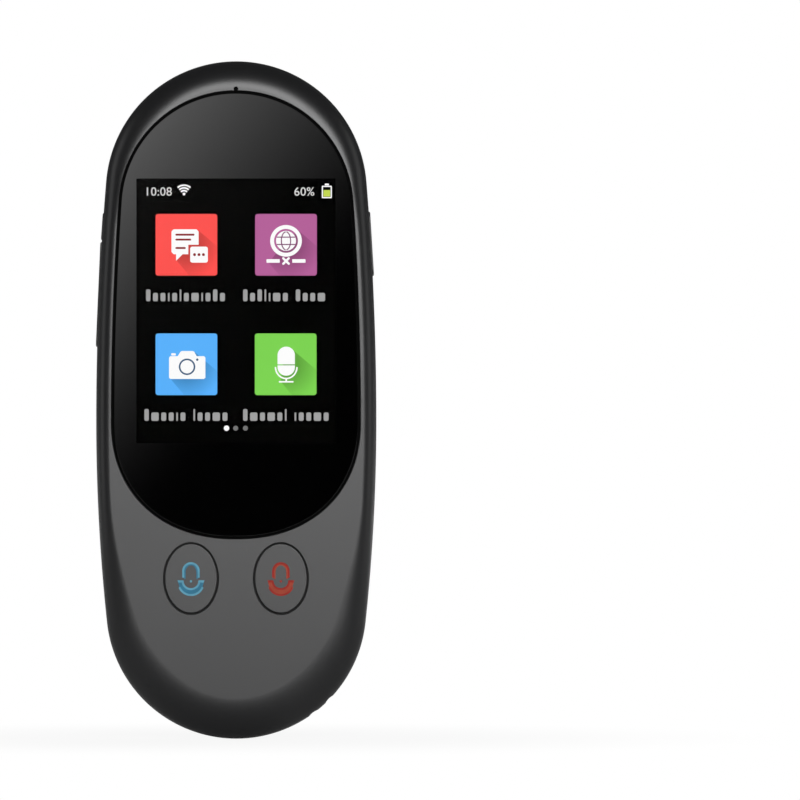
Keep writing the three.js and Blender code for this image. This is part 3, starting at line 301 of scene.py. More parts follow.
def moulded(name, dark, light, rough, grain, depth, stretch=(1, 1, 1), drift=60, **uniform):
    """A material whose colour and roughness drift over the surface, with a fine raised grain.

    dark and light are the two tones, rough is a pair, grain is the number of grains in a
    millimetre, depth their height in millimetres, and drift the slow patches in a metre."""
    material = bpy.data.materials.new(name)
    material.use_nodes = True
    tree = material.node_tree
    shader = tree.nodes["Principled BSDF"]
    for socket, value in uniform.items():
        shader.inputs[socket.replace("_", " ")].default_value = value
    place = node(tree, "TexCoord").outputs["Object"]
    scale = node(tree, "Mapping", place, Scale=stretch).outputs[0]
    colour = mottled(tree, scale, drift, 3, rgba(dark), rgba(light), 0.3, 0.7)
    tree.links.new(colour, shader.inputs["Base Color"])
    fine = node(tree, "TexNoise", scale, Scale=grain / MM, Detail=2).outputs["Fac"]
    sheen = node(tree, "MapRange", fine, 0, 1, *rough)
    tree.links.new(sheen.outputs["Result"], shader.inputs["Roughness"])
    relief = node(tree, "Bump", Strength=1, Distance=depth * MM, Height=fine)
    tree.links.new(relief.outputs["Normal"], shader.inputs["Normal"])
    return material


satin_paint = moulded("satin_paint", (0.0065, 0.0065, 0.007), (0.0085, 0.0085, 0.009),
                      rough=(0.3, 0.37), grain=5, depth=0.0008, drift=40)

# Front half of the housing: a tray with the glass recess and screen window, two oval key holes, a
# pinhole for the microphone, slots for the side keys, the charging opening and the lanyard eye.
# The recess and the key holes have a broken edge, as a moulded and painted part has.
face_wall, tongue_inset, tongue_top = 1.9, 0.9, 2.4
floor_y = front_y + face_wall
band_middle_y = (band_front_y + band_back_y) / 2
overrun = 1
glass_top_z, glass_bottom_z = 56.97, -25.58
glass_half, glass_radius, oval_power = 22.95, 21.62, 2.2
glass_back_y, shelf_y = -6.1, -5.8
oval_steps = 64
window, window_corner = (-19.01, 19.01, -8.63, 41.63), 1
talk_key_x, talk_key_z = 8.28, -32.88
talk_key_half = (4.78, 6.32)
key_gap = 0.3
mic_z, mic_radius = 57.32, 0.43
face_steps, hollow_steps = 20, 8


def placed(name, mesh, weld=0):
    """A piece made of a mesh. Its faces turn outwards, and points closer than the weld are joined."""
    shape = bmesh.new()
    shape.from_mesh(mesh)
    if weld:
        bmesh.ops.remove_doubles(shape, verts=shape.verts, dist=weld)
    bmesh.ops.recalc_face_normals(shape, faces=shape.faces)
    shape.to_mesh(mesh)
    shape.free()
    piece = bpy.data.objects.new(name, mesh)
    scene.collection.objects.link(piece)
    return piece


def finished(name, points, faces):
    """A piece made of points in millimetres and the faces between them."""
    mesh = bpy.data.meshes.new(name)
    mesh.from_pydata([Vector(p) * MM for p in points], [], faces)
    return placed(name, mesh)


def evaluated(drawn):
    """The mesh that the modifiers of an object, or its curve, give."""
    graph = bpy.context.evaluated_depsgraph_get()
    return bpy.data.meshes.new_from_object(drawn.evaluated_get(graph), depsgraph=graph)


def solid(name, rings):
    """A closed mesh through rings of equal count."""
    count = len(rings[0])
    points = [p for one in rings for p in one]
    faces = [tuple(range(count)), tuple(range(len(points) - count, len(points)))]
    for j in range(len(rings) - 1):
        for i in range(count):
            k = (i + 1) % count
            faces.append((j * count + i, j * count + k, (j + 1) * count + k, (j + 1) * count + i))
    return finished(name, points, faces)


def prism(name, outline, low_y, high_y, inset=0):
    """A closed mesh that keeps its outline from one depth to another."""
    return solid(name, [ring(outline, inset, y) for y in (low_y, high_y)])


def carve(piece, tools, operation="DIFFERENCE"):
    """Cuts closed tools out of a piece, or joins them to it, and throws the tools away."""
    box = bpy.data.collections.new("tools")
    scene.collection.children.link(box)
    for tool in tools:
        box.objects.link(tool)
        scene.collection.objects.unlink(tool)
    step = piece.modifiers.new("carve", "BOOLEAN")
    step.operation, step.solver = operation, "MANIFOLD"
    step.operand_type, step.collection = "COLLECTION", box
    mesh = evaluated(piece)
    piece.modifiers.clear()
    old, piece.data = piece.data, mesh
    mesh.name = piece.name
    bpy.data.meshes.remove(old)
    for tool in tools:
        bpy.data.objects.remove(tool)
    bpy.data.collections.remove(box)
    return piece


def dress(piece, material, body, slot, *nodes, crease=35):
    """Gives a piece its material, shading and body, and hides the nodes it stands for. Slot: not
    used.
    """
    mesh = piece.data
    mesh.materials.clear()
    mesh.materials.append(material)
    mesh.shade_smooth()
    mesh.set_sharp_from_angle(angle=math.radians(crease))
    even = piece.modifiers.new("even_shading", "WEIGHTED_NORMAL")
    even.keep_sharp = True
    even.weight = 100
    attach(piece, body)
    if nodes:
        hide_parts(*nodes)
    return piece


def keep_off(lamps, *pieces):
    """Keeps some lamps off some pieces, as a black flag in the studio does."""
    for lamp in lamps:
        flag = lamp.light_linking.receiver_collection
        if not flag:
            flag = lamp.light_linking.receiver_collection = bpy.data.collections.new(lamp.name)
        for piece in pieces:
            flag.objects.link(piece)
            flag.collection_objects[-1].light_linking.link_state = "EXCLUDE"


def front_roll(z):
    return roll_width(z, middle=2.6, upper_extra=2.4, lower_extra=5.0)


def glass_right():
    """Right half of the glass: arcs to the widest line, then half of a fuller-than-round oval."""
    points = end_quarter(glass_half, glass_top_z, glass_radius, waist_z)
    drop = waist_z - glass_bottom_z
    for i in range(1, oval_steps + 1):
        a = math.pi / 2 * i / oval_steps
        across = max(0, math.cos(a)) ** (2 / oval_power)
        down = math.sin(a) ** (2 / oval_power)
        facing = Vector((across ** (oval_power - 1) / glass_half,
                         -down ** (oval_power - 1) / drop)).normalized()
        points.append((glass_half * across, waist_z - drop * down, facing.x, facing.y))
    return points


glass_outline = both_sides(glass_right())


def oval(half_x, half_z, centre_x, centre_z, steps=96):
    """Outline of an ellipse in the same form as the other outlines."""
    points = []
    for i in range(steps):
        a = math.tau * i / steps
        facing = Vector((math.cos(a) / half_x, math.sin(a) / half_z)).normalized()
        points.append((centre_x + half_x * math.cos(a), centre_z + half_z * math.sin(a),
                       facing.x, facing.y))
    return points


def rounded(min_x, max_x, min_z, max_z, corners, steps=10):
    """Outline of a rectangle with corner radii given from lower right, anticlockwise."""
    points = []
    for quarter, (x, z) in enumerate([(max_x, min_z), (max_x, max_z), (min_x, max_z),
                                      (min_x, min_z)]):
        radius = corners[quarter]
        in_x = radius if x == min_x else -radius
        in_z = radius if z == min_z else -radius
        start = math.pi / 2 * (quarter - 1)
        points += arc(x + in_x, z + in_z, radius, start, start + math.pi / 2, steps)
    return points


def key_hole(side):
    """Outline of the hole round a talk key."""
    return oval(talk_key_half[0] + key_gap, talk_key_half[1] + key_gap, side * talk_key_x,
                talk_key_z)


def flared(name, outline, low_y, high_y, rim_y, flare=edge_break):
    """A cutter through a face at rim_y whose edge is broken at 45 degrees on the open side."""
    open_y, deep_y = sorted((low_y, high_y), key=lambda y: abs(y - rim_y))
    away = -1 if open_y < rim_y else 1
    over = abs(open_y - rim_y)
    return solid(name, [ring(outline, -flare - over, open_y),
                        ring(outline, 0, rim_y - away * flare),
                        ring(outline, 0, deep_y)])


def peg(name, radius, centre, low_y, high_y, steps=48):
    return prism(name, oval(radius, radius, *centre, steps), low_y, high_y)


def turned(name, profile, centre, steps=96):
    """A ring turned about an axis along Y. The profile is a closed loop of (radius, y)."""
    count = len(profile)
    points = [(centre[0] + radius * math.cos(math.tau * i / steps), y,
               centre[1] + radius * math.sin(math.tau * i / steps))
              for i in range(steps) for radius, y in profile]
    faces = []
    for i in range(steps):
        k = (i + 1) % steps
        for j in range(count):
            n = (j + 1) % count
            faces.append((i * count + j, i * count + n, k * count + n, k * count + j))
    return finished(name, points, faces)


def front_face_rings():
    rings = roll_rings(front_roll, band_front_y, front_y - band_front_y, 0, face_steps)
    return rings[::-1]


# The lanyard eye is a half-round tunnel round a bar at the lower right corner. Two scoops let the
# cord in on both sides of the bar.
eye_turn = math.radians(41.1)
eye_out = Vector((math.sin(eye_turn), -math.cos(eye_turn)))
eye_along = Vector((math.cos(eye_turn), math.sin(eye_turn)))
eye_centre = Vector((0, bottom_radius - half_length)) + eye_out * bottom_radius
eye_bar, eye_outer, eye_block = 1.0, 3.3, 4.4
eye_front_y, eye_back_y = -1.8, 0.4
eye_skin = 0.05
scoop_radius, scoop_out, scoop_along = 3, 2.72, 2.15


def eye_scoops():
    middle = eye_centre + eye_out * scoop_out
    return [peg("scoop", scoop_radius, middle + eye_along * scoop_along * end,
                band_front_y - overrun, band_back_y + overrun, 64) for end in (-1, 1)]


# Slots for the side keys. Each key has a name, the place of its middle, the outward direction, half
# its length, and whether its top and its bottom are round.
side_keys = [
    ("power", (24.8142, 28.85), (0.998133, 0.061082), 5.95, True, True),
    ("function", (-24.5951, 32.025), (-0.997753, 0.067005), 2.525, True, False),
    ("volume", (-25.2907, 19.475), (-0.999049, 0.043598), 9.675, False, True)]
side_key_half = 1.2
slot_depth = 3


def key_ring(key, grow, out):
    """Outline of a side key in its own slanted plane, at a distance out of the side."""
    _, middle, outward, half, top_round, bottom_round = key
    radius = side_key_half + grow
    top = radius if top_round else edge_break
    bottom = radius if bottom_round else edge_break
    outline = rounded(-radius, radius, -half - grow, half + grow, (bottom, top, top, bottom))
    side = math.copysign(1, outward[0])
    up = (-outward[1] * side, outward[0] * side)
    return [(middle[0] + outward[0] * out + up[0] * along, band_middle_y + across,
             middle[1] + outward[1] * out + up[1] * along) for across, along, _, _ in outline]


# Charging opening: it fits the flat oval socket and widens at the surface.
socket_half_x, socket_half_y, socket_corner = 4.47, 1.58, 1.5
socket_flare, socket_depth = 1.1, 9
socket_outline = rounded(-socket_half_x, socket_half_x, -socket_half_y, socket_half_y,
                         (socket_corner,) * 4)


def socket_ring(grow, z):
    """Outline of the charging socket, which lies flat and points down."""
    return [(x + nx * grow, band_middle_y + up + ny * grow, z) for x, up, nx, ny in socket_outline]


front_shell = solid("front_shell", [
    *front_face_rings(),
    ring(body_outline, 0, band_back_y - edge_break),
    ring(body_outline, edge_break, band_back_y),
    ring(body_outline, tongue_inset, band_back_y),
    ring(body_outline, tongue_inset, tongue_top)])
inner_face = roll_rings(front_roll, band_front_y, floor_y - band_front_y, side_wall, hollow_steps)
carve(front_shell, [solid("front_hollow", [*inner_face[::-1],
                                           ring(body_outline, side_wall, back_y)])])
skin = solid("skin", [*front_face_rings(), ring(body_outline, eye_skin, band_back_y)])
block = carve(peg("eye_block", eye_block, eye_centre, front_y, band_back_y), [skin], "INTERSECT")
carve(front_shell, [block], "UNION")
carve(front_shell, [
    flared("recess", glass_outline, front_y - overrun, shelf_y, front_y),
    prism("window", rounded(*window, (window_corner,) * 4), front_y - overrun, floor_y + overrun),
    peg("mic_hole", mic_radius, (0, mic_z), front_y - overrun, floor_y + overrun, 32),
    *[flared("key_hole", key_hole(side), front_y - overrun, floor_y + overrun, front_y)
      for side in (-1, 1)]])
carve(front_shell, [
    turned("tunnel", [(eye_bar, eye_front_y), (eye_outer, eye_front_y), (eye_outer, eye_back_y),
                      (eye_bar, eye_back_y)], eye_centre, 48),
    solid("socket_opening", [socket_ring(key_gap + socket_flare, -half_length - overrun),
                             socket_ring(key_gap, -half_length + edge_break),
                             socket_ring(key_gap, -half_length + socket_depth)]),
    *[solid("key_slot", [key_ring(key, key_gap, out) for out in (-slot_depth, overrun)])
      for key in side_keys]])
carve(front_shell, eye_scoops())
dress(front_shell, satin_paint, "case", "shell", "front_case")
keep_off(back_lamps, front_shell)

# Rear half of the housing: a shallow pan with the loudspeaker grille, which is eight rings of
# holes that shrink outwards, and the camera hole below it. The back is slightly crowned: its rolled
# edge ends at a small slope, which fades to the middle.
back_wall, seam = 1.3, 0.12
ceiling_y = back_y - back_wall
grille_z, camera_z = 41.3, 21.35
grille_radius = 12.17
grille_shares = (0.106, 0.247, 0.385, 0.517, 0.647, 0.767, 0.887, 1)
grille_counts = (4, 8, 16, 24, 32, 40, 48, 60)
hole_inner, hole_outer, hole_edge, hole_steps = 0.53, 0.37, 0.05, 20
camera_hole = 4.5
crown_height, crown_end, crown_steps = 0.52, 23.5, 7
roll_turn, roll_steps = math.radians(84.6), 24
mouth_y, mouth_inset, mouth_steps = 2.55, 0.75, 10


def rear_roll(z):
    return roll_width(z, middle=10, upper_extra=-2, lower_extra=1)


def rolled_edge():
    rings = []
    depth = (back_y - crown_height - band_back_y) / math.sin(roll_turn)
    for i in range(1, roll_steps + 1):
        turn = roll_turn * i / roll_steps
        rings.append(ring(body_outline, lambda z: rear_roll(z) * (1 - math.cos(turn)),
                          band_back_y + depth * math.sin(turn)))
    return rings


def crown():
    rings = []
    for i in range(1, crown_steps + 1):
        way = i / crown_steps

        def inset(z):
            start = rear_roll(z) * (1 - math.cos(roll_turn))
            return start + (crown_end - start) * way
        rings.append(ring(body_outline, inset, back_y - crown_height * (1 - way) ** 2))
    return rings


def grille_holes():
    holes = []
    for number, (place, count) in enumerate(zip(grille_shares, grille_counts)):
        part = number / (len(grille_counts) - 1)
        radius = hole_inner + (hole_outer - hole_inner) * part
        for i in range(count):
            a = math.tau * i / count
            centre = (grille_radius * place * math.sin(a),
                      grille_z + grille_radius * place * math.cos(a))
            holes.append(flared("hole", oval(radius, radius, *centre, hole_steps),
                                ceiling_y - overrun, back_y + hole_edge, back_y, hole_edge))
    return holes


rear_shell = solid("rear_shell", [
    ring(body_outline, edge_break, band_back_y + seam),
    ring(body_outline, 0, band_back_y + seam + edge_break), *rolled_edge(), *crown()])
carve(rear_shell, [solid("rear_hollow", [
    ring(body_outline, mouth_inset, 0),
    ring(body_outline, mouth_inset, mouth_y),
    *roll_rings(rear_roll, mouth_y, ceiling_y - mouth_y, side_wall, mouth_steps)])])
carve(rear_shell, grille_holes())
carve(rear_shell, [flared("camera_opening", oval(camera_hole, camera_hole, 0, camera_z),
                          ceiling_y - overrun, back_y + overrun, back_y)])
carve(rear_shell, eye_scoops())
dress(rear_shell, satin_paint, "case", "shell", "rear_cover")

# Seal in the seam: a strip of black foam between the two halves. It closes the fine gap a little
# below the surface. It is painted shade: kept from the front and back lamps, it stands in for the
# shade deep in the seam.
seal_inset, seal_clearance, seal_room_top = 0.18, 0.01, 3

black_shade_foam = moulded("black_shade_foam", 0.0012, 0.002, rough=(0.85, 1), grain=6, depth=0.02,
                     Specular_IOR_Level=0.05)
seam_shade_seal = prism("seam_shade_seal", body_outline, band_back_y, band_back_y + seam, seal_inset)
carve(seam_shade_seal, [prism("seal_room", body_outline, 0, seal_room_top,
                        tongue_inset + seal_clearance)])
carve(seam_shade_seal, eye_scoops())
dress(seam_shade_seal, black_shade_foam, "case", "foam")
keep_off(back_lamps + front_lamps, seam_shade_seal)

# Cover glass: one sheet with a softened edge, printed black on its back. The print leaves a clear
# pane over the picture. Here the printed border and the clear pane are two pieces.
glass_gap, glass_edge, glass_soft_share = 0.46, 0.1, 0.3
picture = (-18.33, 18.33, -7.96, 40.78)
pane_corner, pane_clearance = 0.15, 0.002


def glass_blank(name):
    soft = glass_edge * glass_soft_share
    return solid(name, [
        ring(glass_outline, glass_gap + glass_edge, front_y),
        ring(glass_outline, glass_gap + soft, front_y + soft),
        ring(glass_outline, glass_gap, front_y + glass_edge),
        ring(glass_outline, glass_gap, glass_back_y)])


def pane_tool(grow):
    outline = rounded(picture[0] - grow, picture[1] + grow, picture[2] - grow, picture[3] + grow,
                      (pane_corner,) * 4, 3)
    return prism("pane_hole", outline, front_y - overrun, glass_back_y + overrun)


printed_glass = moulded("printed_glass", (0.0015, 0.0015, 0.0017), (0.002, 0.002, 0.0022),
                        rough=(0.03, 0.045), grain=0.4, depth=0, drift=20)
clear_pane = bpy.data.materials.new("clear_pane")
clear_pane.use_nodes = True
shader = clear_pane.node_tree.nodes["Principled BSDF"]
shader.inputs["Base Color"].default_value = (1, 1, 1, 1)
shader.inputs["Roughness"].default_value = 0
shader.inputs["IOR"].default_value = 1.07
shader.inputs["Transmission Weight"].default_value = 1

glass_border = carve(glass_blank("glass_border"), [pane_tool(0)])
dress(glass_border, printed_glass, "case", "cover_glass", "screen_glass")
glass_pane = carve(glass_blank("glass_pane"), [pane_tool(-pane_clearance)], "INTERSECT")
dress(glass_pane, clear_pane, "case", "cover_glass", "screen_glass")
keep_off(back_lamps + front_lamps, glass_border, glass_pane)

# Foam round the glass and in the microphone hole: black strip and mesh, stuck in from behind. They
# sit below the surface, so that the line round the glass and the pinhole look black: they are
# painted shade, standing in for the shade deep in that line and in the pinhole.
foam_front_y = front_y + 0.45
foam_clearance = 0.01
mic_shade_mesh_front_y, mic_shade_mesh_back_y = front_y + 0.35, front_y + 0.6

glass_shade_foam = prism("glass_shade_gasket", glass_outline, foam_front_y, shelf_y, foam_clearance)
carve(glass_shade_foam, [prism("gasket_hole", glass_outline, front_y - overrun, floor_y + overrun,
                         glass_gap - foam_clearance)])
dress(glass_shade_foam, black_shade_foam, "case", "foam")
keep_off(back_lamps, glass_shade_foam)
mic_shade_mesh = peg("mic_shade_mesh", mic_radius - foam_clearance, (0, mic_z), mic_shade_mesh_front_y,
               mic_shade_mesh_back_y, 32)
dress(mic_shade_mesh, black_shade_foam, "case", "foam")

# Screen: a 3:4 panel behind the glass. Its picture is made of flat lit shapes on the panel's front:
# a status line, four tiles with plain signs of their own, rows of plain blocks, and page dots.
panel_y = -4.8
layer, layer_lap = 0.03, 0.01
unevenness, light_patches = 0.04, 90
close_points = 0.002


def tone(red, green, blue):
    """A colour picked on a 0 to 255 scale, as Blender's linear values."""
    def linear(c):
        c /= 255
        return c / 12.92 if c <= 0.04045 else ((c + 0.055) / 1.055) ** 2.4
    return (linear(red), linear(green), linear(blue), 1)


def lit(name, red, green, blue):
    """The light of one patch of the picture, with a slight unevenness."""
    material = moulded(name, 0.002, 0.003, rough=(0.3, 0.4), grain=4, depth=0, drift=300,
                       Specular_IOR_Level=0, Emission_Strength=1)
    tree = material.node_tree
    light = tone(red, green, blue)[:3]
    dim = rgba(tuple((1 - unevenness) * c for c in light))
    bright = rgba(tuple(min(1, (1 + unevenness) * c) for c in light))
    place = node(tree, "TexCoord").outputs["Object"]
    colour = mottled(tree, place, light_patches, 2, dim, bright)
    tree.links.new(colour, tree.nodes["Principled BSDF"].inputs["Emission Color"])
    return material


def from_curve(curve, place):
    """Turns a flat curve into a closed piece that stands upright at a place."""
    drawn = bpy.data.objects.new(curve.name, curve)
    scene.collection.objects.link(drawn)
    mesh = evaluated(drawn)
    bpy.data.objects.remove(drawn)
    mesh.transform(Matrix.Translation(Vector(place) * MM) @ Matrix.Rotation(math.pi / 2, 4, "X"))
    mesh.name = curve.name
    return placed(curve.name, mesh, close_points * MM)


def plate(name, loops, low_y, high_y):
    """A flat plate bounded by closed loops of (x, z). A loop inside another is a hole."""
    curve = bpy.data.curves.new(name, "CURVE")
    curve.dimensions, curve.fill_mode = "2D", "BOTH"
    curve.extrude = (high_y - low_y) / 2 * MM
    for loop in loops:
        spline = curve.splines.new("POLY")
        spline.points.add(len(loop) - 1)
        spline.use_cyclic_u = True
        for point, (x, z) in zip(spline.points, loop):
            point.co = (x * MM, z * MM, 0, 1)
    return from_curve(curve, (0, (low_y + high_y) / 2, 0))


def moved(loops, x, z):
    return [[(px + x, pz + z) for px, pz in loop] for loop in loops]


def show(name, loops, number, material, x=0, z=0):
    """One lit shape of the picture, on a layer counted from the panel's front."""
    piece = plate(name, moved(loops, x, z), panel_y - layer * (number + 1),
                  panel_y - layer * number + layer_lap)
    dress(piece, material, "case", "panel")


# Tiles of the picture: name, middle, colour, shade colour and mark colour; then the white sign, the
# marks on it, and the two corners from which its slanting shade falls. Shapes that overlap are in
# groups of their own, each on a layer a little further forward.
tile_half, tile_corner = 5.69, 0.5
shade_slope, shade_margin = 0.85, 0.4
sign_layer, marks_layer, group_step = 2, 3.3, 0.2
fade_near, fade_far = 2.3, 6.6


def fading(material, colour, middle_x, middle_z):
    """Lets the light of a patch turn into another colour away from a point of the picture."""
    tree = material.node_tree
    shown = tree.nodes["Principled BSDF"].inputs["Emission Color"]
    place = node(tree, "TexCoord").outputs["Object"]
    middle = Vector((middle_x, panel_y, middle_z)) * MM
    away = node(tree, "VectorMath", place, middle, operation="DISTANCE").outputs["Value"]
    share = node(tree, "MapRange", away, fade_near * MM, fade_far * MM).outputs["Result"]
    mix = node(tree, "MixRGB", share, shown.links[0].from_socket, tone(*colour))
    tree.links.new(mix.outputs["Color"], shown)
    return material


def flat(outline):
    return [(x, z) for x, z, _, _ in outline]


def disc(x, z, radius, steps=40):
    return flat(oval(radius, radius, x, z, steps))


def panel(min_x, max_x, min_z, max_z, corner):
    return flat(rounded(min_x, max_x, min_z, max_z, (corner,) * 4, 6))


def stroke(points, width):
    """Loop round a line of points, with round ends."""
    half = width / 2
    left, right = [], []
    for i, point in enumerate(points):
        before, after = points[max(0, i - 1)], points[min(len(points) - 1, i + 1)]
        way = Vector((after[0] - before[0], after[1] - before[1])).normalized()
        left.append((point[0] - way.y * half, point[1] + way.x * half))
        right.append((point[0] + way.y * half, point[1] - way.x * half))
    caps = []
    for tip, inner in ((points[-1], points[-2]), (points[0], points[1])):
        turn = math.atan2(tip[1] - inner[1], tip[0] - inner[0])
        caps.append([(tip[0] + half * math.cos(turn + a), tip[1] + half * math.sin(turn + a))
                     for a in (1.2, 0.8, 0.4, 0, -0.4, -0.8, -1.2)])
    return left + caps[0] + right[::-1] + caps[1]


def bow(x, z, radius_x, radius_z, start, end, steps=24):
    """Points of an arc, with its angles in degrees."""
    angles = [math.radians(start + (end - start) * i / steps) for i in range(steps + 1)]
    return [(x + radius_x * math.cos(a), z + radius_z * math.sin(a)) for a in angles]


screen_white = lit("screen_white", 254, 254, 254)
tiles = [
    ("speech", (-9.16, 28.62), (255, 84, 80), (200, 68, 64), (140, 40, 44), [
        [[(-2.75, -1.35), (-2.35, -1.75), (-1.9, -1.75), (-1.9, -2.95), (-0.7, -1.75),
          (0.35, -1.75), (0.35, 0.0), (2.25, 0.0), (2.25, 2.45), (1.85, 2.85), (-2.35, 2.85),
          (-2.75, 2.45)], panel(0.7, 3.95, -3.3, -0.35, 0.4)]],
     [[stroke([(-1.85, 1.85), (1.3, 1.85)], 0.36), stroke([(-1.85, 0.95), (0.7, 0.95)], 0.36),
       stroke([(-1.85, -0.6), (-0.3, -0.6)], 0.36), disc(1.5, -1.82, 0.27, 16),
       disc(2.32, -1.82, 0.27, 16), disc(3.14, -1.82, 0.27, 16)]],
     (2.25, 2.6), (-1.9, -2.8)),
    ("world", (9.2, 28.62), (180, 98, 153), (140, 73, 118), (124, 66, 108), [
        [disc(0, 0.72, 2.92, 64), disc(0, 0.72, 2.2, 64), disc(0, 0.72, 1.84, 48),
         panel(-3.6, -1.15, -3.32, -2.66, 0.1), panel(1.15, 3.6, -3.32, -2.66, 0.1),
         stroke([(-0.5, -3.5), (0.5, -2.5)], 0.42)],
        [stroke([(-0.5, -2.5), (0.5, -3.5)], 0.42)]],
     [[stroke(bow(0, 0.72, 0.85, 1.66, 91, 269), 0.2),
       stroke(bow(0, 0.72, 0.85, 1.66, -89, 89), 0.2)],
      [stroke([(-1.62, 1.4), (1.62, 1.4)], 0.2), stroke([(-1.62, 0.05), (1.62, 0.05)], 0.2)]],
     (2.2, 2.7), (-3.2, -3.3)),
    ("picture", (-9.16, 6.58), (90, 177, 252), (64, 135, 190), (62, 92, 124), [
        [[(-3.2, 1.2), (-3.0, 1.5), (-1.6, 1.5), (-1.1, 2.3), (-0.85, 2.45), (1.2, 2.45),
          (1.45, 2.3), (1.9, 1.5), (3.25, 1.5), (3.5, 1.25), (3.5, -2.45), (3.25, -2.7),
          (-2.95, -2.7), (-3.2, -2.45)], panel(-2.8, -1.95, 1.62, 2.05, 0.15)]],
     [[disc(0.12, -0.46, 1.52, 48), disc(0.12, -0.46, 1.22, 48), disc(2.0, 0.86, 0.22, 16)]],
     (1.6, 2.2), (-3.0, -2.6)),
    ("voice", (9.14, 6.58), (125, 211, 83), (97, 165, 63), (84, 132, 62), [
        [flat(rounded(-1.5, 1.7, 0.0, 3.25, (0.02, 1.58, 1.58, 0.02), 12)),
         flat(rounded(-1.5, 1.7, -2.1, -0.2, (1.58, 0.02, 0.02, 1.58), 12)),
         stroke(bow(0.1, -0.5, 1.98, 2.12, 183, 357, 32), 0.28),
         panel(-1.25, 1.45, -3.36, -3.08, 0.1)],
        [stroke([(0.1, -2.7), (0.1, -3.15)], 0.3)]],
     [], (1.5, 2.5), (-0.9, -3.2))]

for sign, (x, z), colour, dark, mark, white, marks, high, low in tiles:
    show("tile_" + sign, [panel(-tile_half, tile_half, -tile_half, tile_half, tile_corner)], 0,
         lit("tile_" + sign, *colour), x, z)
    shade = [high, (tile_half, high[1] - shade_slope * (tile_half - high[0])),
             (tile_half, shade_margin - tile_half), (tile_half - shade_margin, -tile_half),
             (low[0] + shade_slope * (tile_half + low[1]), -tile_half), low, (-0.5, 0)]
    show("shade_" + sign, [shade], 1, fading(lit("shade_" + sign, *dark), colour, x, z), x, z)
    for number, loops in enumerate(white):
        show(f"sign_{sign}_{number + 1}", loops, sign_layer + group_step * number, screen_white,
             x, z)
    for number, loops in enumerate(marks):
        show(f"marks_{sign}_{number + 1}", loops, marks_layer + group_step * number,
             lit(f"marks_{sign}_{number + 1}", *mark), x, z)

# Rows of plain rounded blocks under the tiles, in grey light. The blocks are of five kinds, each
# with its width and height, and each row starts a little to the left of its tile.
block_kinds = {"h": (0.8, 2.2), "l": (0.3, 2.2), "o": (0.9, 1.55), "i": (0.3, 1.55),
               "w": (1.35, 1.55)}
block_gap, word_gap = 0.48, 1.0
block_corner, block_roundness = 0.3, 2.2
word_lines = [(-16.6, 18.2, "hooiolowioho"), (1.3, 18.2, "hohliwo hoow"),
              (-16.9, -3.85, "hwooio loowo"), (1.3, -3.85, "hwowol ioowo")]
screen_words = lit("screen_words", 160, 160, 160)
blocks = []
for left, base, rhythm in word_lines:
    x = left
    for kind in rhythm:
        if kind == " ":
            x += word_gap
            continue
        across, height = block_kinds[kind]
        corner = min(block_corner, across / block_roundness)
        blocks.append(panel(x, x + across, base, base + height, corner))
        x += across + block_gap
show("word_blocks", blocks, 0, screen_words)

# Status line: a plain clock and charge in numbers, radio waves and a battery sign. Below the tiles
# there are three page dots.
number_height, number_share, number_z = 1.6, 0.72, 37.68
number_weight, number_spacing = 0.005, 1.04
wave_x, wave_z, wave_radii, wave_width = -9.6, 37.85, (0.75, 1.25, 1.75), 0.3
wave_dot_rise, wave_dot = 0.13, 0.26
page_dot_z, bright_dot, dim_dot = -5.2, 0.5, 0.46
screen_grey = lit("screen_grey", 118, 118, 118)
screen_numbers = lit("screen_numbers", 215, 215, 215)
screen_green = lit("screen_green", 196, 216, 84)


def digits(name, text, left_x):
    """Plain numbers cut from a flat plate."""
    low_y, high_y = panel_y - layer, panel_y + layer_lap
    curve = bpy.data.curves.new(name, "FONT")
    curve.body = text
    curve.size = number_height / number_share * MM
    curve.extrude = (high_y - low_y) / 2 * MM
    curve.offset = number_weight * MM
    curve.space_character = number_spacing
    piece = from_curve(curve, (left_x, (low_y + high_y) / 2, number_z))
    dress(piece, screen_numbers, "case", "panel")


digits("clock_numbers", "10:08", -16.9)
digits("charge_numbers", "60%", 10.65)
waves = [stroke(bow(wave_x, wave_z, r, r, 52, 128), wave_width) for r in wave_radii]
show("radio_waves", waves + [disc(wave_x, wave_z + wave_dot_rise, wave_dot, 16)], 0, screen_white)
show("battery_sign", [panel(15.8, 17.65, 37.2, 39.5, 0.15), panel(16.02, 17.43, 37.42, 39.28, 0.08),
                      panel(16.35, 17.1, 39.56, 39.9, 0.08)], 0, screen_white)
show("battery_charge", [panel(16.1, 17.35, 37.5, 38.7, 0.05)], 0, screen_green)
show("page_dot_1", [disc(-1.76, page_dot_z, bright_dot)], 0, screen_white)
show("page_dots", [disc(x, page_dot_z, dim_dot) for x in (-0.08, 1.72)], 0, screen_grey)


# Inside of the screen: the dark panel, its white backlight frame, the amber ribbon to the board,
# and the foam strips that hold the glass and the panel. They stay as the frame gives them.
def finish(material, *names):
    """Gives pieces of the frame the finish of their real material."""
    for name in names:
        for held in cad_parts[name].material_slots:
            held.material = material


panel_black = moulded("panel_black", 0.0003, 0.0005, rough=(0.25, 0.35), grain=4, depth=0,
                      Specular_IOR_Level=0.02)
reflector = moulded("reflector_white", (0.74, 0.74, 0.72), (0.84, 0.84, 0.82), rough=(0.3, 0.4),
                    grain=3, depth=0.004)
amber = moulded("amber_ribbon", (0.4, 0.16, 0.03), (0.5, 0.24, 0.05), rough=(0.2, 0.32), grain=2,
                depth=0.004, stretch=(6, 1, 0.3))
foam_strip = moulded("foam_strip", 0.012, 0.025, rough=(0.8, 0.95), grain=5, depth=0.05)
finish(panel_black, "screen_panel")
finish(reflector, "backlight_unit")
finish(amber, "screen_flex")
finish(foam_strip, "glass_tape", "screen_gasket")

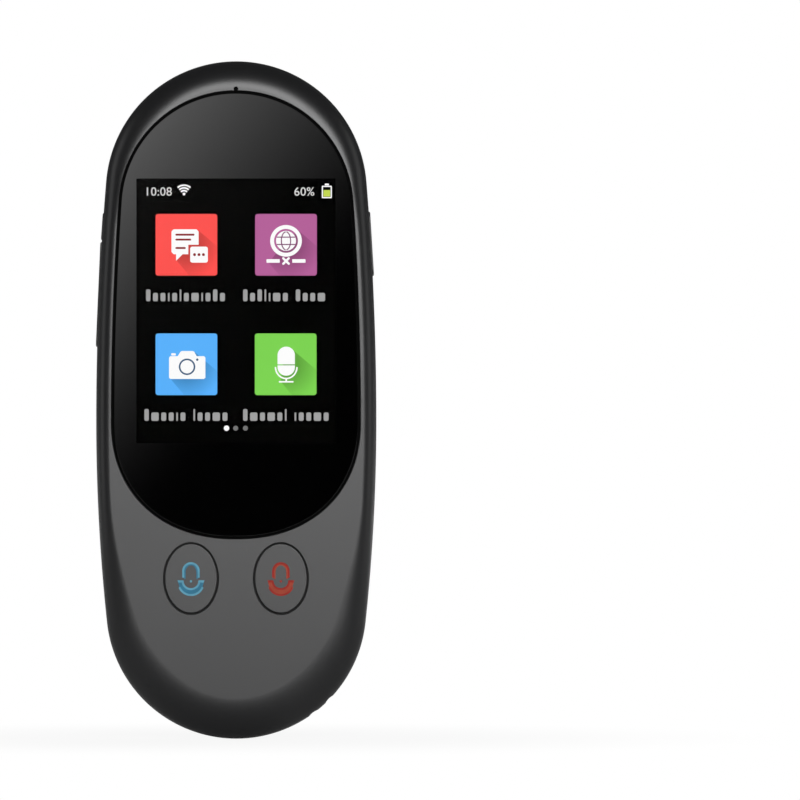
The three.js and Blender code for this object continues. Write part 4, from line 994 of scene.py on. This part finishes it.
# Talk keys: two oval keys of the housing's own plastic, fitted through the face from inside. Each
# has a printed microphone sign, blue on the left and red on the right.
key_top = front_y + 0.015
key_edge = [(0.12, 0), (0.035, 0.03), (0, 0.12)]
flange_y, flange_back_y, flange_width = -5.0, -4.4, 0.7
seal_front_y, seal_back_y, seal_gap = front_y + 0.5, -5.15, 0.03
sign_rise, sign_root = 0.1, 0.05
ink_line, ink_mottle = 0.36, 1.25


def key_solid(name, side):
    """The key: its rounded edge, its straight skirt and the flange that keeps it in."""
    outline = oval(*talk_key_half, side * talk_key_x, talk_key_z)
    return solid(name, [*[ring(outline, inset, key_top + depth) for inset, depth in key_edge],
                        ring(outline, 0, flange_y),
                        ring(outline, -flange_width, flange_y),
                        ring(outline, -flange_width, flange_back_y)])


def ink(name, colour):
    """Matt printing ink with a slight mottle."""
    pale = tuple(min(1, ink_mottle * c) for c in colour)
    return moulded(name, colour, pale, rough=(0.45, 0.6), grain=8, depth=0.001, drift=900,
                   Specular_IOR_Level=0.15)


def sign_plates(name, x, z):
    """The printed sign: a hood, a filled cradle between two bows, and a dot."""
    inner = bow(0, -0.6, 1.52, 1.45, 180, 360)
    hood = [(-1.43, 0.2)] + bow(0, 1.3, 1.43, 1.43, 180, 0) + [(1.43, 0.2)]
    outer = bow(0, -0.84, 2.3, 2.3, 205, 335)
    fill = [(-2.45, -0.5)] + [(-1.52, -0.5)] + inner + [(1.52, -0.5), (2.45, -0.5)] + outer[::-1]
    wings = [[(-2.5, -0.42), (-1.4, -0.42), (-1.55, -0.8), (-2.3, -0.86)],
             [(2.5, -0.42), (1.4, -0.42), (1.55, -0.8), (2.3, -0.86)]]
    shadow = [(px * 0.8, pz - 0.24) for px, pz in hood]
    lines = [stroke(line, ink_line) for line in (hood, inner, outer)]
    parts = {"fill": ([fill], 0.004), "shadow": ([stroke(shadow, 0.3)], 0.004),
             "lines": (lines, 0.009), "dot": ([disc(0, -0.62, 0.22, 20)], 0.009),
             "wings": (wings, 0.012)}
    return {part: plate(f"talk_sign_{part}_{name}", moved(loops, x, z), key_top - proud,
                        key_top + sign_root)
            for part, (loops, proud) in parts.items()}


silicone = moulded("black_silicone", 0.006, 0.01, rough=(0.6, 0.75), grain=5, depth=0.004,
                   Specular_IOR_Level=0.2)
inks = {"left": (ink("blue_ink", (0.083, 0.255, 0.349)), ink("deep_blue_ink", (0.018, 0.121, 0.197))),
        "right": (ink("red_ink", (0.235, 0.01, 0.005)), ink("deep_red_ink", (0.255, 0.037, 0.017)))}
for name, side in (("left", -1), ("right", 1)):
    key = key_solid("talk_key_face_" + name, side)
    dress(key, satin_paint, "talk_" + name, "shell", "talk_key_" + name)
    # Painted shade: black silicone fills the gap round the key below the face, for the gap's shade.
    shade_seal = prism("talk_key_shade_seal_" + name, key_hole(side), seal_front_y, seal_back_y,
                 foam_clearance)
    carve(shade_seal, [prism("key_room", key_hole(side), front_y - overrun, 0, key_gap - seal_gap)])
    dress(shade_seal, silicone, "case", "rubber")
    bright, deep = inks[name]
    signs = sign_plates(name, side * talk_key_x, talk_key_z + sign_rise)
    for part, piece in signs.items():
        dress(piece, deep if part in ("fill", "shadow") else bright, "talk_" + name, "shell")
    keep_off(back_lamps, key, *signs.values())

# Under the talk keys: a black silicone tray with a nib for each key, over two domes of tinned steel
# that are soldered to the board.
tinned = moulded("tinned_steel", (0.52, 0.53, 0.55), (0.66, 0.67, 0.69), rough=(0.22, 0.36),
                 grain=3, depth=0.003, stretch=(1, 1, 0.1), Metallic=1)
finish(silicone, "talk_key_pad")
finish(tinned, "talk_switch_left", "talk_switch_right")

# Side keys: moulded strips of the housing's plastic that stand a little proud of the side, each
# held by its inner flange and pushed in against small steel switches on the board.
strip_rings = [(-0.3, 0.25), (-0.14, 0.22), (-0.04, 0.15), (0, 0.02), (0, -1.75), (0.5, -1.75),
               (0.5, -2.4)]

for key in side_keys:
    name = key[0]
    strip = solid(name + "_key_strip", [key_ring(key, grow, out) for grow, out in strip_rings])
    dress(strip, satin_paint, name, "shell", name + "_key")
    keep_off(back_lamps, strip)
finish(tinned, "power_switch", "function_switch", "volume_up_switch", "volume_down_switch")

# Main board: green solder mask on glass fibre, held by four screws. It carries three shield cans of
# tinned steel, and a copper aerial film lies behind it on the rear cover.
solder_mask = moulded("solder_mask", (0.012, 0.09, 0.045), (0.025, 0.15, 0.075),
                      rough=(0.25, 0.4), grain=1.5, depth=0.01, stretch=(1, 1, 0.25), drift=900)
copper_film = moulded("copper_film", (0.5, 0.25, 0.12), (0.62, 0.34, 0.18), rough=(0.25, 0.4),
                      grain=2, depth=0.004, Metallic=1)
finish(solder_mask, "main_board")
finish(tinned, "board_screw_1", "board_screw_2", "board_screw_3", "board_screw_4",
       "processor_shield", "radio_shield", "charger_shield")
finish(copper_film, "aerial_film")

# Battery: a flat pouch cell in dull silver foil. Foam tape holds it on the back of the board, and a
# foam pad presses on it from behind.
pouch_foil = moulded("pouch_foil", (0.42, 0.42, 0.45), (0.58, 0.58, 0.61), rough=(0.3, 0.45),
                     grain=0.6, depth=0.03, Metallic=0.9)
finish(pouch_foil, "battery")
finish(foam_strip, "battery_tape", "battery_pad")

# Microphone and charging socket: two steel shells. The microphone is in a silicone boot behind its
# pinhole, and the socket sits on the board, round a black plastic tongue.
black_plastic = moulded("black_plastic", 0.006, 0.01, rough=(0.28, 0.4), grain=8, depth=0.002)
finish(tinned, "microphone", "socket_shell")
finish(silicone, "microphone_boot")
finish(black_plastic, "socket_tongue")

# Loudspeaker: a black cone in a black frame with a steel magnet, held behind the grille by a foam
# gasket, under a woven dust mesh.
dust_weave = moulded("dust_weave", 0.001, 0.004, rough=(0.8, 1), grain=7, depth=0.05,
                     Specular_IOR_Level=0.1)
finish(black_plastic, "speaker_frame", "speaker_cone")
finish(tinned, "speaker_magnet")
finish(foam_strip, "speaker_gasket")
finish(dust_weave, "dust_mesh")

# Camera ring: a turned and polished metal ring with a slightly hollow slope, seated in its hole
# with a flange behind the wall. Black foam fills the gap round it as painted shade, standing in
# for the shade deep in that gap.
camera_axis = (0, camera_z)
ring_flange, ring_radius, ring_bore = 4.9, 4.2, 3.59
ring_back_y, ring_flange_y, ring_crest_y = 5.0, 5.6, 6.93
slope_width, slope_drop, slope_bend, slope_steps = 0.56, 0.1, 0.16, 12
bore_edge = [(0.01, 0.04), (0, 0.13)]
seal_outer, seal_inner, seal_low_y, seal_high_y = 4.48, 4.22, 5.65, 6.6


def slope_point(way):
    return (ring_radius - slope_width * (1 - way),
            ring_crest_y - slope_drop * way - slope_bend * way ** 3)


polished = moulded("polished_ring", (0.82, 0.82, 0.83), (0.88, 0.88, 0.89), rough=(0.04, 0.08),
                   grain=1, depth=0, stretch=(1, 0.1, 1), Metallic=1)
slope = [slope_point(i / slope_steps) for i in range(slope_steps, -1, -1)]
bezel = turned("camera_bezel", [
    (ring_flange, ring_back_y), (ring_flange, ring_flange_y), (ring_radius, ring_flange_y), *slope,
    *[(ring_bore + out, ring_crest_y - down) for out, down in bore_edge],
    (ring_bore, ring_back_y)], camera_axis, 128)
dress(bezel, polished, "case", "bright_ring", "camera_ring")
shade_seal = turned("camera_shade_seal", [(seal_outer, seal_low_y), (seal_outer, seal_high_y),
                              (seal_inner, seal_high_y), (seal_inner, seal_low_y)], camera_axis)
dress(shade_seal, black_shade_foam, "case", "foam")

# Camera hood and barrel: a black moulded funnel inside the ring, and a grey lens barrel with its
# retaining step inside the funnel. The camera's black body is on the board behind them.
funnel_plastic = moulded("funnel_plastic", 0.02, 0.026, rough=(0.4, 0.5), grain=8, depth=0.002)
grey_plastic = moulded("grey_plastic", (0.024, 0.026, 0.026), (0.032, 0.034, 0.034),
                       rough=(0.4, 0.5), grain=8, depth=0.002)
funnel_profile = [(3.52, 5.45), (3.52, 6.7), (3.46, 6.72), (3.36, 6.62), (2.75, 5.75),
                  (2.55, 5.6), (2.5, 5.45)]
barrel_profile = [(2.45, 4.75), (2.45, 5.47), (2.39, 5.53), (1.96, 5.51), (1.84, 5.4),
                  (1.84, 5.1), (1.4, 4.98), (1.4, 4.75)]
hood = turned("camera_funnel", funnel_profile, camera_axis)
dress(hood, funnel_plastic, "case", "black_plastic", "camera_hood")
barrel = turned("camera_barrel_ring", barrel_profile, camera_axis)
dress(barrel, grey_plastic, "case", "grey_plastic", "camera_barrel")
finish(black_plastic, "camera_body")

# Camera lens: a strongly domed front element of coated glass, dark, set in the barrel. On one side
# an olive reflection is painted into its colour.
lens_round, lens_crown_y, lens_edge, lens_steps = 1.82, 5.32, math.radians(46), 14
lens_back_radius, lens_back_y = 1.3, 4.75
painted_reflection_middle, painted_reflection_end, painted_reflection_full = (-0.0008, 0.005, 0.0207), 0.0008, 0.0003
coating_dark, painted_reflection_olive = (0.003, 0.004, 0.003, 1), (0.13, 0.15, 0.06, 1)

lens_with_painted_reflection = moulded("coated_lens_painted_reflection", (0.002, 0.003, 0.002), (0.003, 0.004, 0.003), rough=(0.02, 0.03),
                 grain=3, depth=0, Specular_IOR_Level=0.35)
tree = lens_with_painted_reflection.node_tree
# Painted reflection: the base colour turns olive near one point, in place of a reflection inside.
place = node(tree, "TexCoord").outputs["Object"]
away = node(tree, "VectorMath", place, painted_reflection_middle, operation="DISTANCE").outputs["Value"]
sheen = rise(tree, away, painted_reflection_end, painted_reflection_full)
lens_and_painted_reflection = node(tree, "MixRGB", sheen, coating_dark, painted_reflection_olive)
tree.links.new(lens_and_painted_reflection.outputs["Color"], tree.nodes["Principled BSDF"].inputs["Base Color"])


def lens_ring(radius, y):
    return ring(oval(radius, radius, *camera_axis, 64), 0, y)


dome_turns = [lens_edge * i / lens_steps for i in range(lens_steps, 0, -1)]
dome = [lens_ring(lens_round * math.sin(a), lens_crown_y - lens_round * (1 - math.cos(a)))
        for a in dome_turns]
camera_lens = solid("camera_lens_front", [lens_ring(lens_back_radius, lens_back_y), *dome])
dress(camera_lens, lens_with_painted_reflection, "case", "lens_glass", "camera_lens")
